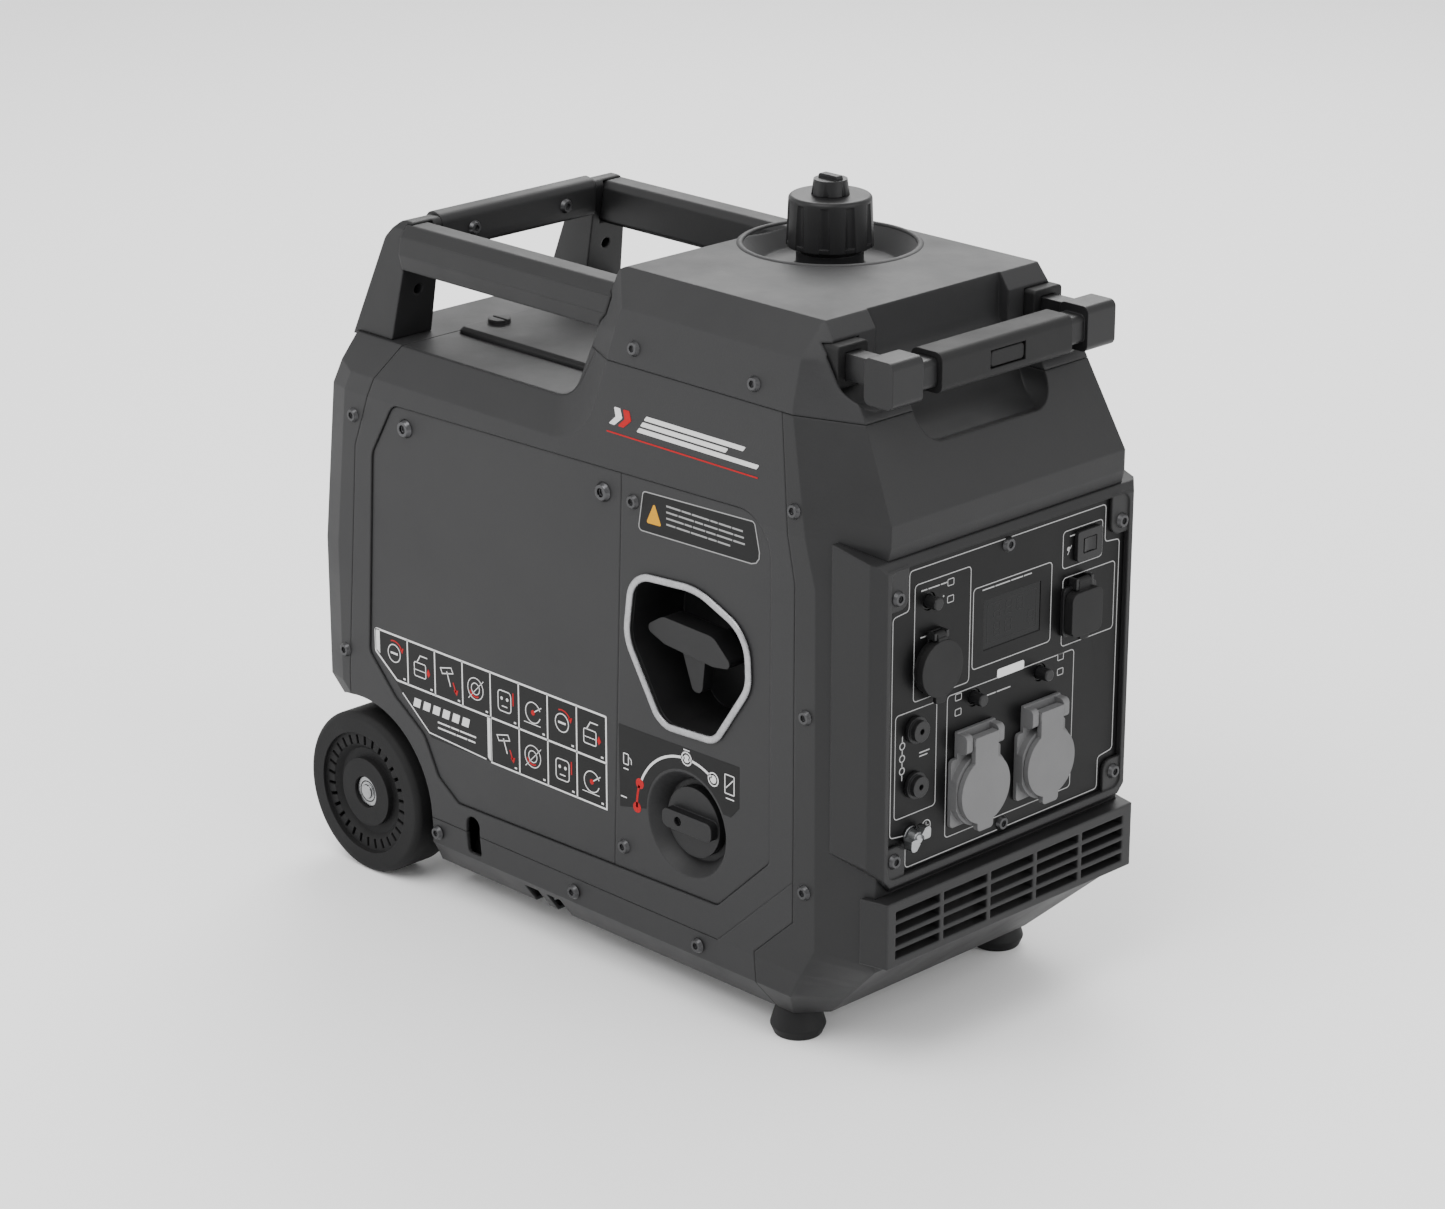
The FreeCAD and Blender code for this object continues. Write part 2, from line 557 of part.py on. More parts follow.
def panel_fittings():
    """Switch frame, USB outlet body and breaker collars: fixed pieces snapped in the panel."""
    pieces = []
    y, z = ECO
    frame = flange(y, z, 26, 22, 2.5, 3.2).fuse(
        block(FRONT_X - 14, PANEL_FACE + 1, y - 9, y + 9, z - 7, z + 7, 1))
    frame = frame.cut(box(FRONT_X - 10, PANEL_FACE + 10, y - 7, y + 7, z - 5.5, z + 5.5))
    pieces.append(biggest(frame.cut(cyl(ECO_PIN_R + SHAFT_FIT, 14, (PANEL_FACE, y, z - 7), (0, 0, 1)))))
    y, z = USB
    body = flange(y, z, 34, 36, 4, 3).fuse(
        block(FRONT_X - 18, PANEL_FACE + 1, y - 13, y + 13, z - 9, z + 9, 2))
    for dy in (-8, 8):
        body = body.cut(box(PANEL_FACE - 10, PANEL_FACE + 10, y + dy - 3, y + dy + 3, z - 6.5, z + 6.5))
    pieces.append(biggest(body))
    for y, z in [(SOCKET_Y[0], BREAKER_Z), (SOCKET_Y[1], BREAKER_Z), DC_BREAKER]:
        collar = cone(10.5, 9.0, 5, (PANEL_FACE + 0.1, y, z), (1, 0, 0))
        barrel = cyl(6.0, 22, (FRONT_X - 20, y, z), (1, 0, 0))
        bore = cyl(4.5 + RUN, 60, (FRONT_X - 12, y, z), (1, 0, 0))
        pieces.append(biggest(collar.fuse(barrel).cut(bore)))
    return Part.makeCompound(pieces)


def breaker_button(y, z):
    face = PANEL_FACE + 9.5
    stem = cyl(4.5, face - FRONT_X + 6, (FRONT_X - 6, y, z), (1, 0, 0))
    return stem.makeChamfer(0.8, [e for e in stem.Edges if e.CenterOfMass.x > face - 0.1])


def eco_rocker():
    y, z = ECO
    body = box(FRONT_X + 0.5, PANEL_FACE + 4.2, y - 6.0, y + 6.0, z - 4.9, z + 4.9)
    dip = cyl(30, 20, (PANEL_FACE + 32.8, y, z - 10), (0, 0, 1))
    pin = cyl(ECO_PIN_R, 13, (PANEL_FACE, y, z - 6.5), (0, 0, 1))
    return biggest(body.cut(dip).fuse(pin))


HINGE_DX = 9.0                          # lid hinge axis in front of the panel
LID_HINGE_Z = SOCKET_Z + 36.0


def ac_socket(y):
    """Square flange with a round socket and a hinge block over it."""
    half = SOCKET_FLANGE / 2
    body = flange(y, SOCKET_Z, 2 * half, 2 * half, 3, 3)
    body = body.fuse(cyl(27, LID_FACE - LID_T - PANEL_FACE - 0.6, (PANEL_FACE + 0.1, y, SOCKET_Z),
                         (1, 0, 0)).common(box(0, 400, y - half, y + half, 0, 400)))
    body = body.fuse(cyl(21, 30, (FRONT_X - 26, y, SOCKET_Z), (1, 0, 0)))
    well = cyl(19.5, 60, (PANEL_FACE - 14, y, SOCKET_Z), (1, 0, 0))
    pins = [cyl(2.5, 40, (PANEL_FACE - 32, y + dy, SOCKET_Z), (1, 0, 0)) for dy in (-9.5, 9.5)]
    earth = [box(PANEL_FACE - 15, PANEL_FACE + 4, y - 2.5, y + 2.5, SOCKET_Z + dz, SOCKET_Z + dz + 1.5)
             for dz in (-18.8, 17.3)]
    body = body.cut(well).cut(Part.makeCompound(pins))
    foot = box(PANEL_FACE + 0.1, PANEL_FACE + 3.1, y - 19, y + 19, SOCKET_Z + 18, LID_HINGE_Z + 8)
    ears = [box(PANEL_FACE + 0.1, PANEL_FACE + 0.1 + 11.5, y0, y0 + 6, LID_HINGE_Z - 7,
                LID_HINGE_Z + 7) for y0 in (y - 19, y + 13)]
    ears = [ear.makeFillet(3.5, [e for e in ear.Edges if abs(e.CenterOfMass.x - PANEL_FACE - 11.6) < 0.2
                                 and e.BoundBox.YLength > 5]) for ear in ears]
    pin = cyl(1.5, 30, (PANEL_FACE + HINGE_DX, y - 15, LID_HINGE_Z), (0, 1, 0))
    return biggest(body.fuse([foot] + ears + earth + [pin]))


def ac_lid(y):
    x0 = LID_FACE - LID_T
    disc = cyl(LID_R, LID_T, (x0, y, SOCKET_Z), (1, 0, 0))
    tab = block(x0, LID_FACE, y - 8, y + 8, SOCKET_Z - LID_R - 5, SOCKET_Z - LID_R + 8, 3)
    hinge_x = PANEL_FACE + HINGE_DX
    arm = box(x0, LID_FACE, y - 11.5, y + 11.5, SOCKET_Z + 12, LID_HINGE_Z)
    knuckle = cyl(4.0, 24, (hinge_x, y - 12, LID_HINGE_Z), (0, 1, 0))
    web = box(hinge_x - 2, LID_FACE, y - 11.5, y + 11.5, LID_HINGE_Z - 4, LID_HINGE_Z + 4.2)
    bore = cyl(1.5 + SHAFT_FIT, 60, (hinge_x, y - 30, LID_HINGE_Z), (0, 1, 0))
    lid = fuse([disc, tab, arm, knuckle, web]).cut(bore)
    return biggest(lid)


def dc_socket():
    y, z = DC_SOCKET
    body = cyl(19, 3.4, (PANEL_FACE + 0.1, y, z), (1, 0, 0))
    body = body.fuse(cyl(14, 34, (FRONT_X - 30, y, z), (1, 0, 0)))
    body = body.cut(cyl(DC_BORE_R, 60, (FRONT_X - 26, y, z), (1, 0, 0)))
    plate = box(PANEL_FACE + 0.1, PANEL_FACE + 1.9, y - 7, y + 7, z + 15, z + 26)
    ears = [plate] + [box(PANEL_FACE + 0.1, PANEL_FACE + 7.5, y0, y0 + 2.5, z + 21, z + 26)
            for y0 in (y - 7, y + 4.5)]
    pin = cyl(1.0, 13, (PANEL_FACE + 5, y - 6.5, z + 23), (0, 1, 0))
    return biggest(body.fuse(ears + [pin]))


def dc_cap():
    """Rubber cap with a hinged strap."""
    y, z = DC_SOCKET
    x0 = PANEL_FACE + 4.0
    disc = cyl(20, 5, (x0, y, z), (1, 0, 0))
    tab = block(x0 + 1, x0 + 4, y - 5, y + 5, z - 25, z - 15, 2.5)
    strap = box(x0, x0 + 4.5, y - 4, y + 4, z + 14, z + 22)
    knuckle = cyl(3.0, 8, (PANEL_FACE + 5, y - 4, z + 23), (0, 1, 0))
    bore = cyl(1.0 + SHAFT_FIT, 40, (PANEL_FACE + 5, y - 20, z + 23), (0, 1, 0))
    return biggest(fuse([disc, tab, strap, knuckle]).cut(bore))


USB_HINGE_Z = USB[1] + 21.0


def usb_cover():
    y, z = USB
    x0 = PANEL_FACE + 3.4
    plate = block(x0, x0 + 7, y - 16, y + 16, z - 17, z + 15, 6)
    tab = block(x0 + 2, x0 + 5, y - 5, y + 5, z - 21, z - 12, 2)
    strap = box(x0, x0 + 4, y - 6, y + 6, z + 10, USB_HINGE_Z)
    knuckle = cyl(2.6, 12, (x0 + 1.6, y - 6, USB_HINGE_Z), (0, 1, 0))
    bore = cyl(1.0 + SHAFT_FIT, 40, (x0 + 1.6, y - 20, USB_HINGE_Z), (0, 1, 0))
    return biggest(fuse([plate, tab, strap, knuckle]).cut(bore))


def usb_hinge():
    """Two ears and a pin over the USB outlet."""
    y, z = USB
    x0 = PANEL_FACE + 3.4
    ears = [box(PANEL_FACE + 0.1, x0 + 4, y0, y0 + 2.5, z + 16, USB_HINGE_Z + 3)
            for y0 in (y - 9, y + 6.5)]
    pin = cyl(1.0, 17, (x0 + 1.6, y - 8.5, USB_HINGE_Z), (0, 1, 0))
    return ears + [pin]


def parallel_jacks():
    """Two 4 mm sockets for a parallel kit."""
    jacks = []
    for y, z in JACKS:
        jack = cyl(9.5, 3, (PANEL_FACE + 0.1, y, z), (1, 0, 0))
        jack = jack.fuse(cyl(7.5, 7, (PANEL_FACE + 0.1, y, z), (1, 0, 0)))
        jack = jack.fuse(cyl(5.5, 30, (FRONT_X - 24, y, z), (1, 0, 0)))
        jacks.append(biggest(jack.cut(cyl(JACK_BORE_R, 60, (FRONT_X - 18, y, z), (1, 0, 0)))))
    return Part.makeCompound(jacks)


def ground_stud():
    y, z = GROUND
    stud = cyl(GROUND_R, 28, (FRONT_X - 16, y, z), (1, 0, 0))
    washer = cyl(7, 1.6, (PANEL_FACE + 0.1, y, z), (1, 0, 0))
    nut = prism_x([(y + 5.8 * math.cos(math.radians(60 * i)), z + 5.8 * math.sin(math.radians(60 * i)))
                   for i in range(6)], FRONT_X - 8, FRONT_X - 3)
    return fuse([stud, washer, nut])


def wing_nut():
    y, z = GROUND
    x0 = PANEL_FACE + 2.2
    hub = cone(5.5, 4.5, 6, (x0, y, z), (1, 0, 0))
    wing = prism_x([(y + 2, z - 2, 0), (y + 8, z - 5, 2), (y + 12, z + 3, 3), (y + 7, z + 5, 2),
                    (y + 2, z + 2.5, 0)], x0 + 1, x0 + 8.5)
    other = wing.copy()
    other.rotate(V(x0, y, z), V(1, 0, 0), 180)
    bore = cyl(GROUND_R + SHAFT_FIT, 40, (x0 - 10, y, z), (1, 0, 0))
    nut = fuse([hub, wing, other]).cut(bore)
    nut.rotate(V(x0, y, z), V(1, 0, 0), 25)
    return biggest(nut)


# ------------------------------------------------------------------ starter side
RECOIL = [(61, 320, 25), (128, 325, 60), (179, 304, 33), (181, 263, 30), (147, 213, 19),
          (90, 210, 23), (54, 269, 34)]
TRIM_W = 5.5
SIDE_FACE = -HALF_W + DOOR_DEPTH


def door_half(front):
    """One half of the flush side panel, split along the slanted seam."""
    plate = opening(DOOR, 0.0, SIDE_FACE, SIDE_FACE + DOOR_T)
    (x0, z0), (x1, z1) = DOOR_SPLIT
    if front:
        keep = [(x0 + SEAM / 2, z0), (300, z0), (300, z1), (x1 + SEAM / 2, z1)]
    else:
        keep = [(x0 - SEAM / 2, z0), (x1 - SEAM / 2, z1), (-300, z1), (-300, z0)]
    return biggest(plate.common(prism_y(keep, -200, 0)))


def recoil_panel():
    """Fixed front half, with the starter opening and the bowl of the engine dial."""
    panel = door_half(True)
    panel = panel.cut(opening(RECOIL, -TRIM_W + 1.5, -200, 0))
    start = (DIAL_X, SIDE_FACE, DIAL_Z)
    bowl = cone(BOWL_DIAL_R, BOWL_DIAL_FLOOR_R, BOWL_DIAL_DEPTH, start, (0, 1, 0))
    shell = cone(BOWL_DIAL_R + 2.4, BOWL_DIAL_FLOOR_R + 2.4, BOWL_DIAL_DEPTH + 2.4, start, (0, 1, 0))
    panel = panel.fuse(shell).cut(bowl)
    return biggest(panel.cut(cyl(5 + SHAFT_FIT, 60, (DIAL_X, -HALF_W, DIAL_Z), (0, 1, 0))))


def recoil_trim():
    """Bright ring round the starter opening."""
    ring = opening(RECOIL, 0.0, SIDE_FACE - 2.4, SIDE_FACE - 0.1)
    return biggest(ring.cut(opening(RECOIL, -TRIM_W, -200, 0)))


def recoil_cup():
    """Deep tray behind the opening, with the rope guide in its back wall."""
    back = SIDE_FACE + DOOR_T + FIT
    tray = opening(RECOIL, -TRIM_W + 4.0, back, back + CUP_DEPTH)
    hollow = opening(RECOIL, -TRIM_W + 1.6, back - 1, back + CUP_DEPTH - 2.4)
    guide = tube(8, ROPE_R + 1.0, 8, (GRIP_X, back + CUP_DEPTH - 6, GRIP_Z), (0, 1, 0))
    hole = cyl(ROPE_R + 1.0, 30, (GRIP_X, back + CUP_DEPTH - 10, GRIP_Z), (0, 1, 0))
    return biggest(tray.cut(hollow).fuse(guide).cut(hole))


GRIP_FACE = SIDE_FACE + 6.0


def recoil_grip():
    """T-handle: a bowed bar on a stem."""
    bar = prism_y([(GRIP_X - 45, GRIP_Z + 8, 4), (GRIP_X - 26, GRIP_Z + 20, 14),
                   (GRIP_X + 24, GRIP_Z + 18, 14), (GRIP_X + 45, GRIP_Z - 1, 4),
                   (GRIP_X + 24, GRIP_Z - 4, 10), (GRIP_X - 24, GRIP_Z, 10)],
                  GRIP_FACE, GRIP_FACE + 18)
    stem = cone(9, 6.5, 26, (GRIP_X, GRIP_FACE + 14, GRIP_Z), (0, 1, 0))
    keel = prism_y([(GRIP_X - 13, GRIP_Z + 2, 0), (GRIP_X + 12, GRIP_Z + 2, 0),
                    (GRIP_X + 8, GRIP_Z - 30, 5), (GRIP_X - 1, GRIP_Z - 30, 5)],
                   GRIP_FACE + 5, GRIP_FACE + 15)
    grip = fuse([bar, stem, keel])
    socket = cyl(ROPE_R + 0.05, 8, (GRIP_X, GRIP_FACE + 32.1, GRIP_Z), (0, 1, 0))
    return biggest(grip.cut(socket))


ROPE_END = -24.0


def starter_rope():
    start = GRIP_FACE + 32.2
    return cyl(ROPE_R, ROPE_END - start, (GRIP_X, start, GRIP_Z), (0, 1, 0))


def engine_dial():
    y0 = SIDE_FACE + BOWL_DIAL_DEPTH - RUN
    disc = cyl(DIAL_R, 7, (DIAL_X, y0, DIAL_Z), (0, -1, 0))
    bar = block(DIAL_X - DIAL_R + 1.5, DIAL_X + DIAL_R - 1.5, y0 - 14, y0 - 5,
                DIAL_Z - 7, DIAL_Z + 7, 5, "y")
    shaft = cyl(5, 26, (DIAL_X, y0 - 2, DIAL_Z), (0, 1, 0))
    dial = fuse([disc, bar, shaft])
    return biggest(dial.cut(cyl(3.4, 5, (DIAL_X - 9, y0 - 15, DIAL_Z), (0, 1, 0))))


# ------------------------------------------------------------------ top
def upright(side):
    """Post of the rear handle."""
    profile = [(-263, DECK_Z - 3, 0), (-219, DECK_Z + FIT, 0), (-203, UPRIGHT_TOP, 5),
               (-217, UPRIGHT_TOP, 8), (-231, 497, 14)]
    post = prism_y(profile, -UPRIGHT_OUT, -UPRIGHT_IN)
    lean = prism_x([(-UPRIGHT_OUT - 1, 380), (-UPRIGHT_OUT + 1, DECK_Z), (-UPRIGHT_OUT + 8, 505),
                    (-UPRIGHT_OUT + 14, UPRIGHT_TOP + 1), (-60, UPRIGHT_TOP + 1), (-60, 380)],
                   -300, -100)
    post = post.common(lean).cut(envelope(-0.2))
    rail = box(RAIL_BACK - FIT, -150, -RAIL_Y - RAIL_W / 2 - FIT, -RAIL_Y + RAIL_W / 2 + FIT,
               RAIL_Z - RAIL_H / 2 - FIT, RAIL_Z + RAIL_H / 2 + FIT)
    bolt = cyl(4, 40, (-228, -94, 458), (1, 0, 0))
    post = biggest(post.cut(rail).cut(bolt))
    return post if side < 0 else mirror_y(post)


def cross_bar():
    profile = [(-228, 489, 6), (-224, 484, 4), (-205, 484, 4), (-204, 492, 3), (-204, 511, 7),
               (-217, 514, 8), (-227, 503, 8)]
    return prism_y(profile, -UPRIGHT_IN + FIT, UPRIGHT_IN - FIT)


def rail(side):
    """Faceted side rail, hollow for the arm of the pull handle."""
    y0, y1 = RAIL_Y - RAIL_W / 2, RAIL_Y + RAIL_W / 2
    z0, z1 = RAIL_Z - RAIL_H / 2, RAIL_Z + RAIL_H / 2
    outline = [(-y1 + 3, z0, 1), (-y1, z0 + 12, 3), (-y1 + 2, z1 - 8, 3), (-y1 + 9, z1, 3),
               (-y0 - 4, z1, 3), (-y0, z1 - 5, 2), (-y0, z0 + 3, 2), (-y0 - 3, z0, 1)]
    bar = prism_x(outline, RAIL_BACK, 40).cut(envelope(-0.2))
    bar = bar.cut(box(RAIL_BACK + 12, 60, -ARM_Y - ARM_W / 2 - RUN, -ARM_Y + ARM_W / 2 + RUN,
                      ARM_Z - ARM_H / 2 - RUN, ARM_Z + ARM_H / 2 + RUN))
    bar = biggest(bar)
    return bar if side < 0 else mirror_y(bar)


def top_hatch():
    """Lift-up cover over the spark plug, with a slotted screw at its rear."""
    x0, x1, half = HATCH
    cover = block(x0, x1, -half, half, DECK_Z - 2.6, DECK_Z + 5, 5, "z")
    cover = cover.makeChamfer(2.5, [e for e in cover.Edges if abs(e.BoundBox.ZMin - DECK_Z - 5) < 0.01
                                    and abs(e.BoundBox.ZMax - DECK_Z - 5) < 0.01])
    cover = cover.cut(block(x0 + 3, x1 - 3, -half + 3, half - 3, DECK_Z - 10, DECK_Z + 2, 4, "z"))
    return biggest(cover)


def hatch_screw():
    """Slotted screw that holds the hatch, at its rear corner."""
    x, y = HATCH[0] + 14, -38
    head = cyl(8.5, 3.2, (x, y, DECK_Z + 5.1), (0, 0, 1))
    return head.cut(box(x - 12, x + 12, y - 1.2, y + 1.2, DECK_Z + 6.8, DECK_Z + 20))


def handle_arms():
    """Two arms that telescope into the side rails, joined by a bar with end blocks."""
    arms = []
    for side in (-1, 1):
        y = side * ARM_Y
        arms.append(box(ARM_BACK, BAR_X, y - ARM_W / 2, y + ARM_W / 2,
                        ARM_Z - ARM_H / 2, ARM_Z + ARM_H / 2))
        y0, y1 = sorted((side * 82, side * BAR_HALF))
        end = block(BAR_X - BAR_D / 2, BAR_X + BAR_D / 2, y0, y1, ARM_Z - 4 - BAR_H / 2 + 1,
                    ARM_Z - 4 + BAR_H / 2 + 1, 5, "y")
        arms.append(end)
    core = block(BAR_X - 10, BAR_X + 10, -90, 90, ARM_Z - 13, ARM_Z + 7, 4, "y")
    bar = fuse(arms + [core])
    press = box(BAR_X + 1, BAR_X + 30, -17, 17, ARM_Z - 9, ARM_Z + 3)
    return biggest(bar.cut(press))


def handle_grip():
    sleeve = block(BAR_X - GRIP_D / 2, BAR_X + GRIP_D / 2, -GRIP_HALF, GRIP_HALF,
                   ARM_Z - 3 - GRIP_H / 2, ARM_Z - 3 + GRIP_H / 2, 6, "y")
    core = block(BAR_X - 10.1, BAR_X + 10.1, -GRIP_HALF - 5, GRIP_HALF + 5, ARM_Z - 13.1, ARM_Z + 7.1,
                 4, "y")
    press = box(BAR_X + 5, BAR_X + 30, -17.5, 17.5, ARM_Z - 9.5, ARM_Z + 3.5)
    return biggest(sleeve.cut(core).cut(press))


def handle_button():
    face = BAR_X + GRIP_D / 2 - 0.6
    return block(BAR_X + 5.5, face, -16.5, 16.5, ARM_Z - 8.5, ARM_Z + 2.5, 3)


def handle_bushings():
    """Rubber frames that guide the arms through the recess wall."""
    half = BUSH / 2
    frame = block(RECESS_X - 10, RECESS_X + 9, -ARM_Y - half, -ARM_Y + half, ARM_Z - half,
                  ARM_Z + half, 3)
    bore = box(RECESS_X - 30, RECESS_X + 30, -ARM_Y - ARM_W / 2 - 0.1, -ARM_Y + ARM_W / 2 + 0.1,
               ARM_Z - ARM_H / 2 - 0.1, ARM_Z + ARM_H / 2 + 0.1)
    return both_sides(biggest(frame.cut(bore)))


def fuel_tank():
    body = block(22, 196, -78, 78, 372, 500, 22, "z")
    body = body.common(block(22, 196, -78, 78, 372, 500, 14, "x"))
    neck = cyl(NECK_R, CAP_Z0 - 4 - 494, (CAP_X, CAP_Y, 494), (0, 0, 1))
    inside = block(24.5, 193.5, -75.5, 75.5, 374.5, 497.5, 20, "z")
    bore = cyl(NECK_R - 3, 60, (CAP_X, CAP_Y, 494), (0, 0, 1))
    return biggest(body.fuse(neck).cut(inside).cut(bore))


def fuel_cap():
    """Screw cap with finger flutes and a short plug in the filler neck."""
    body = cone(CAP_R, CAP_R - 1.5, CAP_H, (CAP_X, CAP_Y, CAP_Z0), (0, 0, 1))
    top_edge = [e for e in body.Edges if e.CenterOfMass.z > CAP_Z0 + CAP_H - 0.1]
    body = body.makeFillet(3.0, top_edge)
    flutes = []
    for i in range(10):
        angle = math.radians(36 * i + 18)
        centre = (CAP_X + (CAP_R + 2.6) * math.cos(angle), CAP_Y + (CAP_R + 2.6) * math.sin(angle),
                  CAP_Z0 - 1)
        flutes.append(cyl(5.2, CAP_H - 3, centre, (0, 0, 1)))
    skirt = cyl(NECK_R + 1.5, 30, (CAP_X, CAP_Y, CAP_Z0 - 1), (0, 0, 1))
    body = body.cut(Part.makeCompound(flutes)).cut(skirt)
    rib = tube(CAP_R - 0.8, NECK_R + 1.5, 3, (CAP_X, CAP_Y, CAP_Z0), (0, 0, 1))
    plug = cyl(NECK_R - 3 - RUN, 36, (CAP_X, CAP_Y, CAP_Z0 - 6), (0, 0, 1))
    cap = body.fuse([rib, plug])
    stem = cyl(4 + SHAFT_FIT, 30, (CAP_X, CAP_Y, CAP_Z0 + CAP_H - 12), (0, 0, 1))
    return biggest(cap.cut(stem))


def vent_knob():
    base = CAP_Z0 + CAP_H + 0.2
    knob = cone(KNOB_R, KNOB_R - 1.5, KNOB_H - 3, (CAP_X, CAP_Y, base), (0, 0, 1))
    ridge = block(CAP_X - 9, CAP_X + 9, CAP_Y - 3, CAP_Y + 3, base + KNOB_H - 5, base + KNOB_H, 2, "y")
    flats = []
    for i in range(6):
        angle = math.radians(60 * i)
        flats.append(cyl(2.2, KNOB_H, (CAP_X + (KNOB_R + 0.8) * math.cos(angle),
                                       CAP_Y + (KNOB_R + 0.8) * math.sin(angle), base - 1), (0, 0, 1)))
    stem = cyl(4, 11, (CAP_X, CAP_Y, base - 10), (0, 0, 1))
    return biggest(knob.cut(Part.makeCompound(flats)).fuse([ridge, stem]))


# ------------------------------------------------------------------ running gear
def wheel(side):
    """Tyre and hub as two solids pressed together."""
    y0 = WHEEL_FACE - WHEEL_W
    at = (WHEEL_X, y0, WHEEL_R)
    axis = (0, 1, 0)
    hub_r = WHEEL_R - 16
    tyre = tube(WHEEL_R, hub_r + 0.1, WHEEL_W, at, axis)
    rims = [e for e in tyre.Edges if e.BoundBox.YLength < 0.1 and e.BoundBox.XLength > 1.9 * WHEEL_R]
    tyre = tyre.makeFillet(5.0, rims)
    hub = tube(hub_r, AXLE_R + SHAFT_FIT, WHEEL_W - 5, (WHEEL_X, y0 + 2, WHEEL_R), axis)
    face = WHEEL_FACE - 3
    dish = cone(hub_r - 14, hub_r - 9, 5, (WHEEL_X, face - 4.5, WHEEL_R), axis)
    boss = cyl(27, 9, (WHEEL_X, face - 8, WHEEL_R), axis)
    hub = hub.cut(dish).fuse(boss).cut(cyl(12.5, 10, (WHEEL_X, face - 4, WHEEL_R), axis))
    hub = hub.cut(cyl(AXLE_R + SHAFT_FIT, 100, (WHEEL_X, y0 - 10, WHEEL_R), axis))
    slots = []
    for i in range(30):
        slot = box(WHEEL_X - 1.3, WHEEL_X + 1.3, face - 7, face + 2, WHEEL_R + hub_r - 10,
                   WHEEL_R + hub_r - 2.5)
        slot.rotate(V(WHEEL_X, 0, WHEEL_R), V(0, 1, 0), 12 * i)
        slots.append(slot)
    hub = biggest(hub.cut(Part.makeCompound(slots)))
    pair = Part.makeCompound([tyre, hub])
    return pair if side > 0 else mirror_y(pair)


def axle():
    """Steel axle with a collar and a bright end bolt in each hub recess."""
    inner = WHEEL_FACE - WHEEL_W - 1.0
    reach, tip = WHEEL_FACE - 5.0, 5.5
    rod = cyl(AXLE_R, 2 * reach, (WHEEL_X, -reach, WHEEL_R), (0, 1, 0))
    rod = rod.fuse(cyl(tip, 2 * reach + 5, (WHEEL_X, -reach - 2.5, WHEEL_R), (0, 1, 0)))
    ends = []
    for side in (-1, 1):
        ends.append(cyl(12.0, 2.0, (WHEEL_X, side * (WHEEL_FACE - 6.4), WHEEL_R), (0, side, 0)))
        ends.append(cyl(12.0, 3.0, (WHEEL_X, side * inner, WHEEL_R), (0, -side, 0)))
    return fuse([rod] + ends)


def front_feet():
    """Flared rubber feet with a stud up into the frame."""
    at = (FOOT_X, -FOOT_Y, 0)
    foot = cone(FOOT_R, FOOT_R + 3, 7, at, (0, 0, 1))
    foot = foot.fuse(cone(FOOT_R + 3, FOOT_R - 2, BELLY_Z - 7 - 0.1, (FOOT_X, -FOOT_Y, 7), (0, 0, 1)))
    foot = foot.fuse(cyl(4, BELLY_Z + 8, at, (0, 0, 1)))
    return both_sides(biggest(foot.removeSplitter()))


# ------------------------------------------------------------------ inside
ENGINE_X0, ENGINE_X1 = -110.0, 20.0
ROTOR_X0, ROTOR_X1, ROTOR_R = 44.0, 84.0, 72.0


def engine_block():
    z = CRANK_Z
    case = block(ENGINE_X0, ENGINE_X1, -62, 62, 72, z + 42, 12, "z")
    cylinder = box(ENGINE_X0 + 24, ENGINE_X1 - 24, -38, 38, z + 40, z + 98)
    fins = [box(ENGINE_X0 + 12, ENGINE_X1 - 12, -52, 52, z + 50 + 10 * i, z + 54 + 10 * i)
            for i in range(5)]
    floor = BELLY_Z + WALL + FIT
    feet = [box(ENGINE_X0 + 6, ENGINE_X1 - 6, y0, y0 + 22, floor, 73) for y0 in (-60, 38)]
    body = fuse([case, cylinder] + fins + feet)
    body = body.cut(box(ENGINE_X0 + 8, ENGINE_X1 - 8, -54, 54, 80, z + 34))
    body = body.cut(cyl(28, 80, (-45, 0, z + 30), (0, 0, 1)))
    return biggest(body.cut(cyl(11 + SHAFT_FIT, 200, (ENGINE_X0 - 20, 0, z), (1, 0, 0))))


def cylinder_head():
    z = CRANK_Z + 98.2
    head = box(ENGINE_X0 + 22, ENGINE_X1 - 22, -40, 40, z, z + 16)
    fins = [box(ENGINE_X0 + 22, ENGINE_X1 - 22, y, y + 3, z + 15, z + 30) for y in range(-39, 38, 12)]
    return biggest(fuse([head] + fins).cut(cyl(7.05, 80, (-45, 3, z - 5), (0, 0, 1))))


def spark_plug():
    z = CRANK_Z + 98.2
    return fuse([cyl(7, 18, (-45, 3, z + 1), (0, 0, 1)), cyl(10, 7, (-45, 3, z + 30.2), (0, 0, 1)),
                 cyl(6, 14, (-45, 3, z + 18), (0, 0, 1)), cyl(5, 34, (-45, 3, z + 36), (0, 0, 1))])


def crankshaft():
    z = CRANK_Z
    shaft = cyl(11, 118, (ENGINE_X0 - 4, 0, z), (1, 0, 0))
    shaft = shaft.fuse(cyl(8, ROTOR_X1 + 20 - ENGINE_X0, (ENGINE_X0 - 4, 0, z), (1, 0, 0)))
    webs = [cyl(30, 9, (x, 0, z), (1, 0, 0)) for x in (-62, -37)]
    pin = cyl(7, 20, (-54, 0, z + 20), (1, 0, 0))
    return fuse([shaft, pin] + webs)


